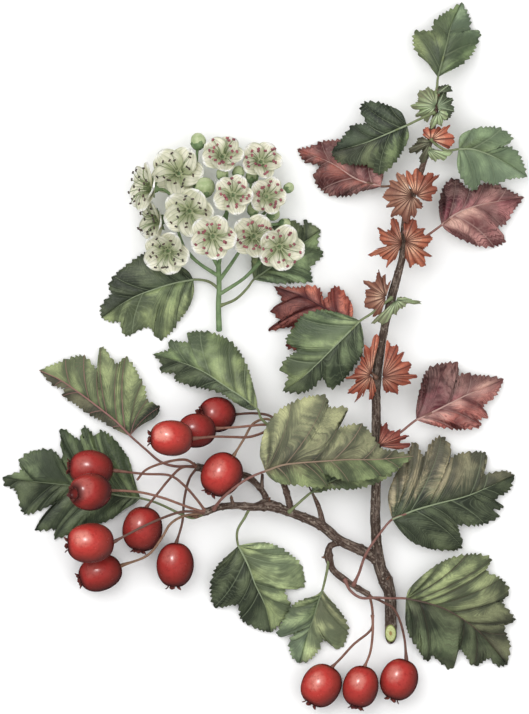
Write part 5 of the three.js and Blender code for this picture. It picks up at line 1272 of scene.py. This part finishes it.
# ---- Operators ----
class HAWTHORN_OT_wood(bpy.types.Operator):
    """Bark-covered stem, bough, spurs and thorn"""

    bl_idname = "hawthorn.wood"
    bl_label = "Wood"

    def execute(self, context):
        bark = living_bark(context.scene.hawthorn_colours.bark)
        strength = context.scene.hawthorn_sizes.bark_relief
        for node, sides, knots, routes in LIMBS:
            shells = Shells()
            for route, young in routes:
                self.limb(shells, route, young, sides, functools.partial(self.ridges, strength, knots))
            shells.build("bark_" + node, bark, "bark", (node,))
        self.cut_face()
        return {"FINISHED"}

    def ridges(self, strength, knots, travelled, angle):
        """How far the bark stands out, as a share of the radius: slow waves round and along, crossed by
        a shorter wave, and a knot wherever the tenth power of a slow wave along it is high."""
        wave = np.sin(3 * angle + 0.55 * travelled + 1.3 * np.sin(0.31 * travelled))
        wave = wave + 0.7 * np.sin(5 * angle - 0.83 * travelled) + 0.6 * np.sin(7 * angle + 1.9 * travelled)
        knot = np.sin(0.9 * travelled + 1.7 * np.sin(0.23 * travelled)) ** 10
        return strength * (0.4 * wave + knots * knot * (1.6 + np.sin(2 * angle + travelled)))

    def limb(self, shells, route, young, sides, relief):
        """One limb. The main stem runs on past its slanting cut and is trimmed to it, and its bark is
        younger toward its tip; the others have rounded ends."""
        centres, radii = limb_curve(route, per=22)
        if route is MAIN_STEM:
            keep = centres[:, 1] > CUT_CENTRE[1] - 5
            centres, radii = centres[keep], radii[keep]
            young = smooth((centres[:, 1] - 10) / 60)[:, None] * 0.9
        else:
            centres, radii = round_ends(centres, radii)
        rings = rings_along(centres, radii, sides, relief)
        if route is MAIN_STEM:
            rings = self.trimmed(rings)
        angle = full_turn(sides)
        radii, travelled = radii[:, None], distance_along(centres)[:, None]
        x, y, z = np.broadcast_arrays(radii * np.cos(angle), radii * np.sin(angle), travelled)
        shells.add(rings, place=np.dstack([CRACKS_ROUND * x, CRACKS_ROUND * y, CRACKS_ALONG * z]),
                   young=np.broadcast_to(young, rings.shape[:2]))

    def trimmed(self, rings):
        """Slides ring points that lie past the slanting cut back along the stem onto it."""
        facing = unit(CUT_TILT)
        past = np.maximum((rings - np.array(CUT_CENTRE)) @ facing, 0)
        along = np.array([0, -1.0, 0])
        return rings - along * (past / (along @ facing))[..., None]

    def cut_face(self):
        """The cut's face: a thin oval dish of rings that grow to the stem's edge, on the slope."""
        facing = unit(CUT_TILT)
        across = unit(np.cross(facing, UPWARD))
        down = np.cross(facing, across)
        radius = np.array([0.02, 0.25, 0.5, 0.8, 0.95, 0.99, 0.9, 0.5, 0.02])
        lift = np.array([0.1, 0.1, 0.09, 0.09, 0.08, 0.0, -0.3, -0.3, -0.3])
        oval = outward(CUT_HALF_WIDTH * across, CUT_HALF_LENGTH * down, full_turn(36))
        place = np.dstack(np.broadcast_arrays(radius[:, None], np.zeros(len(oval)), 0.0))
        shells = Shells()
        shells.add(lathed(CUT_CENTRE, facing, oval, lift, radius), place=place)
        shells.build("cut_end_wood", cut_wood(), "bark")


class HAWTHORN_OT_buds(bpy.types.Operator):
    """Small scaly buds on the wood"""

    bl_idname = "hawthorn.buds"
    bl_label = "Wood buds"

    def execute(self, context):
        shells = Shells()
        for order, (foot, direction, length) in enumerate(WOOD_BUDS):
            axis = unit(direction)
            side, over = cross_directions(axis, UPWARD)
            for k, out in enumerate(outward(side, over, np.arange(6) * 2.4 + order)):
                start = np.array(foot) + axis * length * 0.12 * k - axis * 0.3 + out * 0.12
                rings, _, _ = tongue(start, axis + out * 0.28, out, length=0.62 * length, width=0.3 * length,
                                     rise=-0.12 * length, cup=-0.16 * length, thickness=0.2,
                                     along=6, across=5, blunt=0.8)
                shells.add(rings)
        finish = soft_skin("brown bud scale", "7a5a48", "4e372d", patch_mm=0.7, roughness=0.5, specular=0.4)
        shells.build("wood_buds", finish, "bark")
        return {"FINISHED"}


class HAWTHORN_OT_leaves(bpy.types.Operator):
    """Leaf blades with midrib, veins, quilting and teeth"""

    bl_idname = "hawthorn.leaves"
    bl_label = "Leaf blades"

    def execute(self, context):
        finishes = {
            "leaf_green": leaf_cuticle("waxy green leaf cuticle", roughness=0.5, mottle=0.1, contrast=1.0,
                                       vein_share=0.42),
            "leaf_red": leaf_cuticle("crimson autumn leaf cuticle", roughness=0.5, mottle=0.34, contrast=1.0,
                                     vein_share=0.45, fine_share=0.14, light_gain=(2.2, 2.45, 2.3),
                                     dark_gain=(0.46, 0.3, 0.34), hatching=0.9),
            "leaf_pale": leaf_cuticle("matt pale leaf tissue", roughness=0.65, mottle=0.0, contrast=0.9,
                                      vein_share=0.75),
        }
        for leaf in LEAVES:
            shells = leaf_shells(leaf, context.scene.hawthorn_sizes)
            shells.build("blade_" + leaf["name"], finishes[leaf["slot"]], leaf["slot"], (leaf["name"],))
        return {"FINISHED"}


class HAWTHORN_OT_petioles(bpy.types.Operator):
    """Leaf stalks, each with a swollen foot"""

    bl_idname = "hawthorn.petioles"
    bl_label = "Leaf stalks"

    def execute(self, context):
        shells = Shells()
        for leaf in LEAVES:
            inside = np.array(leaf["rib"][0]) * 0.4 + np.array(leaf["rib"][1]) * 0.6
            centres = curve_through(leaf["stalk"] + [[*inside, leaf["height"][0] - 0.1]], per=10)
            t = np.linspace(0, 1, len(centres))
            radii = 0.46 - 0.16 * t + 0.25 * np.exp(-(t / 0.06) ** 2)
            rings = rings_along(*round_ends(centres, radii), sides=10)
            shells.add(rings, tint=tint(TINTS[leaf["tints"][5]]))
        finish = stalk_skin("smooth petiole skin", roughness=0.5, grain_mm=1.2)
        shells.build("petioles", finish, "leaf_green")
        return {"FINISHED"}


class HAWTHORN_OT_bracts(bpy.types.Operator):
    """Toothed stipules round the stem's joints"""

    bl_idname = "hawthorn.bracts"
    bl_label = "Stipules"

    def execute(self, context):
        shells = Shells()
        for leaf in LEAVES:
            for order, bract in enumerate(leaf["bracts"]):
                bract_shell(shells, bract, order)
        finish = leaf_cuticle("thin stipule tissue", roughness=0.55, mottle=0.0, contrast=0.8,
                              vein_share=0.95, fine_share=0.4, light_gain=(1.75, 1.9, 1.8),
                              dark_gain=(0.6, 0.45, 0.45), rim_start=0.78, hatching=0.3)
        shells.build("stipules", finish, "leaf_red")
        return {"FINISHED"}


class HAWTHORN_OT_haws(bpy.types.Operator):
    """Glossy haws with their dried calyxes"""

    bl_idname = "hawthorn.haws"
    bl_label = "Haws"

    def execute(self, context):
        skin, calyx = Shells(), Shells()
        for order, (_, centre, half_length, radius, direction, depth) in enumerate(HAWS):
            axis = unit(direction)
            across = cross_directions(axis, [0.1, 0.2, 1.0])
            self.body(skin, order, np.array(centre), half_length, radius, axis, across, depth)
            self.calyx(calyx, order, np.array(centre), half_length, axis, across)
        finish = haw_skin(context.scene.hawthorn_colours.haw)
        skin.build("haws", finish, "haw_skin", tuple(haw[0] for haw in HAWS))
        finish = soft_skin("dried calyx tissue", "4a1a1c", "74382e", patch_mm=0.8, roughness=0.7)
        calyx.build("calyxes", finish, "haw_stalk")
        return {"FINISHED"}

    def body(self, shells, order, centre, half_length, radius, axis, across, depth):
        """An oval lathed about its axis: the radius is a power of the cosine of the latitude, with
        five faint ribs, a dimple at the stalk and a sunken eye inside the calyx."""
        latitude = np.radians(np.linspace(-84, 72, 26))
        along = np.concatenate([[-0.95], np.sin(latitude), [0.965, 0.93, 0.87, 0.85]])[:, None]
        girth = np.concatenate([[0.35], radius * np.cos(latitude) ** 0.84, [1.75, 1.45, 0.9, 0.3]])[:, None]
        angle = full_turn(40)
        rib = 1 + 0.012 * np.cos(5 * angle + order) * smooth(along + 0.2)
        lump = 1 + 0.01 * np.sin(2 * angle + 0.5 * half_length * along + order * 1.7)
        rings = lathed(centre, axis, outward(*across, angle), half_length * along[:, 0], girth * rib * lump)
        # How far each point faces the light, for the skin's painted light and shade.
        light_facing = (rings - centre) @ unit(SUN) / radius
        shells.add(rings, place=np.dstack(np.broadcast_arrays(along, depth, light_facing)))

    def calyx(self, shells, order, centre, half_length, axis, across):
        """Five narrow sepals that stand on the rim round the eye and bend outward."""
        for out in outward(*across, full_turn(5) + order):
            foot = centre + axis * half_length * 0.93 + out * 1.6
            rings, _, _ = tongue(foot, out * 0.45 + axis * 0.9, axis - out * 0.3, length=1.45, width=0.85,
                                 rise=-0.3, cup=0.2, thickness=0.3, along=7, across=5, blunt=0.95)
            shells.add(rings)


class HAWTHORN_OT_haw_stalks(bpy.types.Operator):
    """Slender stalks of the haws"""

    bl_idname = "hawthorn.haw_stalks"
    bl_label = "Haw stalks"

    def execute(self, context):
        finish = stalk_skin("reddish fruit stalk skin", roughness=0.6, grain_mm=1.6)
        for name, stalks in STALK_CLUSTERS:
            shells = Shells()
            for order, (route, end) in enumerate(stalks):
                centres = curve_through(route + [pole_of(end)] if end else route, per=12)
                t = np.linspace(0, 1, len(centres))
                radii = 0.4 - 0.04 * t + 0.2 * np.exp(-(t / 0.04) ** 2)
                radii = radii + 0.26 * np.exp(-((t - 1) / 0.05) ** 2) * (end is not None)
                shade = tint(STALK_TINTS[order % len(STALK_TINTS)])
                shells.add(rings_along(*round_ends(centres, radii, steps=2), sides=10), tint=shade)
            shells.build("skin_" + name, finish, "haw_stalk", (name,))
        return {"FINISHED"}


class HAWTHORN_OT_sprig(bpy.types.Operator):
    """Green stem of the flowering sprig and its round buds"""

    bl_idname = "hawthorn.sprig"
    bl_label = "Flower stalks and buds"

    def execute(self, context):
        green, cream = Shells(), Shells()
        for route in SPRIG_BRANCHES:
            green.add(rings_along(*round_ends(*limb_curve(route, per=14)), sides=12))
        for flower in FLOWERS:
            hub = np.array(flower[4], float)
            below, _ = stalk_foot(flower)
            stub = np.linspace(hub, hub + unit(below - hub) * STUB_REACH, 6)
            green.add(rings_along(*round_ends(stub, np.full(6, 0.48), steps=2), sides=8))
        for order, (centre, radius, hub) in enumerate(BUDS):
            self.bud(green, cream, order, np.array(centre, float), radius, np.array(hub, float))
        finish = soft_skin("smooth green stalk skin", "7c9268", "627a52", patch_mm=1.8, roughness=0.55)
        green.build("sprig_stems", finish, "green_stalk", ("flower_stalk",))
        finish = soft_skin("folded bud petal", "bcc69c", "9fb080", patch_mm=1.6, roughness=0.55)
        cream.build("bud_petals", finish, "petal")
        return {"FINISHED"}

    def bud(self, green, cream, order, centre, radius, hub):
        """A bud on its stalk: an almost round ball of folded petals, held by a green cup and five
        pointed sepals that lie up its sides."""
        axis = unit(centre - hub)
        side, over = cross_directions(axis, [0.1, 0.3, 1.0])
        stalk = np.linspace(hub, centre - axis * radius * 0.9, 8)
        green.add(rings_along(stalk, np.full(len(stalk), 0.44), sides=8))
        angle = full_turn(20)
        around = outward(side, over, angle)
        latitude = np.radians(np.linspace(-82, 84, 12))
        fold = 1 + 0.05 * np.cos(3 * angle + 2.5 * latitude[:, None])
        girth = 0.96 * radius * np.cos(latitude)[:, None] * fold
        cream.add(lathed(centre, axis, around, radius * np.sin(latitude), girth))
        depth = radius * np.array([-1.25, -1.1, -0.8, -0.45, -0.3, -0.5])
        green.add(lathed(centre, axis, around, depth, radius * np.array([0.12, 0.45, 0.75, 0.95, 0.9, 0.1])))
        for out in outward(side, over, full_turn(5) + order):
            foot = centre + out * radius * 0.93 - axis * radius * 0.4
            rings, _, _ = tongue(foot, axis + 0.05 * out, out, length=0.95 * radius, width=0.36 * radius,
                                 rise=-0.25 * radius, cup=-0.08 * radius, thickness=0.16,
                                 along=7, across=5, blunt=0.9)
            green.add(rings)


def flower_axes(flower):
    """Centre, facing direction and two cross directions of a flower."""
    centre, axis = np.array(flower[1], float), unit(flower[3])
    side = unit(np.cross(axis, [0.2, 1.0, 0.1]))
    return centre, axis, side, np.cross(axis, side)


def stalk_foot(flower):
    """Where a flower's own stalk bends up below it, and where it starts near its branch tip."""
    centre, axis, _, _ = flower_axes(flower)
    hub = np.array(flower[4])
    below = centre - axis * RECEPTACLE_DEPTH * 1.8
    return below, hub + unit(below - hub) * (STUB_REACH - 0.8)


class HAWTHORN_OT_flower_cups(bpy.types.Operator):
    """Green cups, sepals and own stalks of the open flowers"""

    bl_idname = "hawthorn.flower_cups"
    bl_label = "Flower cups"

    def execute(self, context):
        shells = Shells()
        depth = RECEPTACLE_DEPTH * np.array([-1, -0.85, -0.55, -0.2, 0.02, 0.1, 0.06, 0.02])
        girth = RECEPTACLE_RADIUS * np.array([0.2, 0.6, 0.85, 1.0, 1.05, 0.9, 0.6, 0.1])
        for flower in FLOWERS:
            centre, axis, side, over = flower_axes(flower)
            below, near = stalk_foot(flower)
            centres = curve_through([near, below, centre - axis * RECEPTACLE_DEPTH * 0.8], per=12)
            shells.add(rings_along(centres, np.linspace(0.42, 0.5, len(centres)), sides=8))
            shells.add(lathed(centre, axis, outward(side, over, full_turn(18)), depth, girth))
            for out in outward(side, over, full_turn(5)):
                rings, _, _ = tongue(centre + out * 1.1 - axis * 0.25, out, axis, length=2.9, width=0.85,
                                     rise=0.1, cup=0.1, thickness=0.2, along=8, across=5, blunt=0.9)
                shells.add(rings)
        finish = soft_skin("soft green calyx skin", "7f9468", "647d50", patch_mm=1.4, roughness=0.55)
        shells.build("flower_cups", finish, "green_stalk")
        return {"FINISHED"}


class HAWTHORN_OT_petals(bpy.types.Operator):
    """Five cupped petals for each open flower"""

    bl_idname = "hawthorn.petals"
    bl_label = "Petals"

    def execute(self, context):
        thickness = context.scene.hawthorn_sizes.petal_thickness / MM
        chance = np.random.default_rng(SEED)
        shells = Shells()
        for flower in FLOWERS:
            for order in range(5):
                self.petal(shells, flower, order, thickness, chance.uniform(-1, 1, 4))
        finish = petal_velvet(context.scene.hawthorn_colours.petal)
        shells.build("petals", finish, "petal", tuple(flower[0] for flower in FLOWERS))
        return {"FINISHED"}

    def petal(self, shells, flower, order, thickness, wobble):
        """One petal, deeper in a flower that is seen from the side, and ruffled toward its rim by two
        waves across it. Each stands a little higher than the last, so that they overlap."""
        centre, axis, side, over = flower_axes(flower)
        radius = flower[2]
        out = outward(side, over, (order + 0.5) * 2 * np.pi / 5 + 0.05 * wobble[0])
        lift = 0.1 + 0.05 * order
        depth = (0.42 if axis[2] < SIDEWAYS else 0.3) + 0.07 * wobble[3]
        rings, s, c = tongue(centre + out * 0.55 + axis * lift, out, axis + 0.16 * np.cross(axis, out),
                             length=radius * (1.0 + 0.05 * wobble[1]),
                             width=radius * (0.6 + 0.04 * wobble[2]), rise=radius * depth,
                             cup=radius * 0.2, thickness=thickness, along=15, across=11, blunt=0.42)
        ruffle = (0.3 * np.sin(7 * c + 4 * wobble[0]) + 0.12 * np.sin(17 * c)) * s ** 3
        shells.add(rings + ruffle[..., None] * axis, place=np.dstack([s, c, np.zeros_like(s)]))


class HAWTHORN_OT_stamens(bpy.types.Operator):
    """Stamens and styles of the open flowers"""

    bl_idname = "hawthorn.stamens"
    bl_label = "Stamens"

    def execute(self, context):
        count = context.scene.hawthorn_sizes.stamens
        chance = np.random.default_rng(SEED + 1)
        threads, pink, dark = Shells(), Shells(), Shells()
        for flower in FLOWERS:
            centre, axis, side, over = flower_axes(flower)
            radius = flower[2]
            anthers = dark if flower[0] in DARK_ANTHERS else pink
            for k in range(count):
                out = outward(side, over, k * 2 * np.pi / count + chance.uniform(-0.3, 0.3))
                reach = radius * chance.uniform(0.25, 0.75)
                rise = radius * (chance.uniform(0.4, 0.6) + 0.15 * (axis[2] < SIDEWAYS))
                tip = centre + out * (1.0 + reach) + axis * rise
                self.thread(threads, centre + out * 1.15 + axis * 0.2, tip, out, axis, reach, rise)
                self.anther(anthers, tip, out, axis, 0.28 if anthers is dark else 0.38)
            for k in range(STYLES):
                out = outward(side, over, k * 2 * np.pi / count + chance.uniform(-0.3, 0.3))
                reach, rise = 0.08 * radius, 0.3 * radius
                tip = centre + out * (1.0 + reach) * 0.5 + axis * rise
                self.thread(threads, centre + out * 0.2 + axis * 0.2, tip, out, axis, reach, rise)
                knob = np.array([tip - axis * 0.1, tip, tip + axis * 0.12]) + np.array([0.01, 0, 0])
                threads.add(rings_along(knob, [0.12, 0.26, 0.12], sides=6))
        finish = soft_skin("pale green filament tissue", "98a47c", "6e7c56", patch_mm=2.0, roughness=0.5)
        threads.build("stamen_threads", finish, "petal")
        finish = soft_skin("pink anther skin", "a8666a", "7a444c", patch_mm=1.6, roughness=0.6)
        pink.build("pink_anthers", finish, "petal")
        finish = soft_skin("spent dark anther skin", "4a4640", "5c4a42", patch_mm=1.6, roughness=0.7)
        dark.build("dark_anthers", finish, "petal")
        return {"FINISHED"}

    def anther(self, anthers, tip, out, axis, radius):
        """A short bean across the end of its thread."""
        heading = unit(np.cross(out, axis) + 0.4 * out)
        centres = tip + np.outer([-0.5, -0.38, 0, 0.38, 0.5], heading)
        anthers.add(rings_along(centres, radius * np.array([0.3, 1, 0.95, 1, 0.3]), sides=6))

    def thread(self, threads, start, tip, out, axis, reach, rise):
        """A thin thread from the cup to its tip, bowed up and in at its middle."""
        bend = (start + tip) / 2 + axis * 0.25 * rise - out * 0.12 * reach
        centres = curve_through([start, bend, tip], per=3)
        threads.add(rings_along(centres, np.linspace(0.16, 0.11, len(centres)), sides=5))


class HAWTHORN_OT_stage(bpy.types.Operator):
    """Pale floor, soft lights and a camera that looks straight down"""

    bl_idname = "hawthorn.stage"
    bl_label = "Stage"

    def execute(self, context):
        stage = context.scene.hawthorn_stage
        self.floor(context, stage)
        # Name, place, size, power and whether it shows only as a glint in the waxy skins.
        lamps = (
            ("glint", (-0.6, 0.7, 1.6), 0.3, 20, True), ("key", (-0.7, 0.7, 1.5), 1.6, 13, False),
            ("fill", (0.9, -0.3, 1.2), 1.3, 5, False), ("top", (0.1, 0.0, 1.8), 1.6, 6, False),
        )
        for name, place, size, power, glint in lamps:
            light = bpy.data.lights.new(name, "AREA")
            light.shape = "DISK"
            light.energy = power
            light.size = size
            lamp = bpy.data.objects.new(name, light)
            context.scene.collection.objects.link(lamp)
            lamp.location = place
            lamp.rotation_euler = aim_angles(-np.array(place))
            lamp.visible_glossy = glint
            lamp.visible_diffuse = not glint
        self.room(context)
        self.camera(context, stage)
        return {"FINISHED"}

    def floor(self, context, stage):
        """A wide square of plain matt paper, a little uneven in its tone."""
        mesh = bpy.data.meshes.new("floor")
        corners = [(x * FLOOR_HALF, y * FLOOR_HALF, 0) for x, y in ((-1, -1), (1, -1), (1, 1), (-1, 1))]
        mesh.from_pydata(corners, [], [(0, 1, 2, 3)])
        floor = bpy.data.objects.new("floor", mesh)
        context.scene.collection.objects.link(floor)
        material, add = new_material("plain matt paper")
        tone = (weighed(add, 0.0, (clouded(add, 1.2, 2.0), 0.08)), linear("f1efe9"))
        colour = layered(add, tuple(stage.floor_colour), tone)
        mesh.materials.append(surfaced(material, colour, roughness=0.9, specular=0.1))
        floor.visible_glossy = False

    def room(self, context):
        """Even white light from all sides, which doesn't show in the waxy skins."""
        world = bpy.data.worlds.new("soft room")
        world.use_nodes = True
        light = {"Color": (1, 1, 1, 1), "Strength": 0.65}
        fill_inputs(world.node_tree, world.node_tree.nodes["Background"], light)
        context.scene.world = world
        world.cycles_visibility.glossy = False
        context.scene.view_settings.view_transform = "Standard"

    def camera(self, context, stage):
        """A camera straight over the plant, whose lens makes the view length fill the long side."""
        data = bpy.data.cameras.new("camera")
        data.sensor_width = SENSOR_WIDTH
        data.lens = SENSOR_WIDTH * (stage.camera_height - PLANT_MIDDLE * MM) / stage.view_length
        data.clip_start = 0.1
        data.clip_end = 20
        camera = bpy.data.objects.new("camera", data)
        x, y = (np.array(VIEW_CENTRE) + PLAN_TO_FRAME[:2]) * MM
        camera.location = (x, y, stage.camera_height)
        context.scene.collection.objects.link(camera)
        context.scene.camera = camera


def aim_angles(direction):
    """Turn that points a lamp's -Z along a direction, as angles about x, y and z."""
    x, y, z = (float(v) for v in unit(direction))
    return (math.acos(-z), 0.0, math.atan2(-x, y))


class HAWTHORN_PT_panel(bpy.types.Panel):
    """Lists the plant's sizes and its operators"""

    bl_idname = "HAWTHORN_PT_panel"
    bl_label = "Hawthorn cuttings"
    bl_space_type = "VIEW_3D"
    bl_region_type = "UI"
    bl_category = "Hawthorn"

    def draw(self, context):
        scene = context.scene
        for group in (scene.hawthorn_sizes, scene.hawthorn_colours, scene.hawthorn_stage):
            box = self.layout.box()
            for key in group.bl_rna.properties.keys():
                if key not in ("rna_type", "name"):
                    box.prop(group, key)
        for operator in OPERATORS:
            self.layout.operator(operator.bl_idname)


OPERATORS = (
    HAWTHORN_OT_stage, HAWTHORN_OT_wood, HAWTHORN_OT_buds, HAWTHORN_OT_leaves, HAWTHORN_OT_petioles,
    HAWTHORN_OT_bracts, HAWTHORN_OT_haws, HAWTHORN_OT_haw_stalks, HAWTHORN_OT_sprig, HAWTHORN_OT_flower_cups,
    HAWTHORN_OT_petals, HAWTHORN_OT_stamens,
)
CLASSES = (HawthornSizes, HawthornColours, HawthornStage, *OPERATORS, HAWTHORN_PT_panel)


def register():
    """Registers the classes and gives the scene its sizes, colours and stage."""
    for cls in CLASSES:
        bpy.utils.register_class(cls)
    bpy.types.Scene.hawthorn_sizes = bpy.props.PointerProperty(type=HawthornSizes)
    bpy.types.Scene.hawthorn_colours = bpy.props.PointerProperty(type=HawthornColours)
    bpy.types.Scene.hawthorn_stage = bpy.props.PointerProperty(type=HawthornStage)


def unregister():
    """Takes away what register added, in the opposite order."""
    del bpy.types.Scene.hawthorn_stage
    del bpy.types.Scene.hawthorn_colours
    del bpy.types.Scene.hawthorn_sizes
    for cls in reversed(CLASSES):
        bpy.utils.unregister_class(cls)


def main():
    """Builds everything in order."""
    register()
    for operator in OPERATORS:
        name = operator.bl_idname.split(".")[1]
        getattr(bpy.ops.hawthorn, name)()


if __name__ == "__main__":
    main()
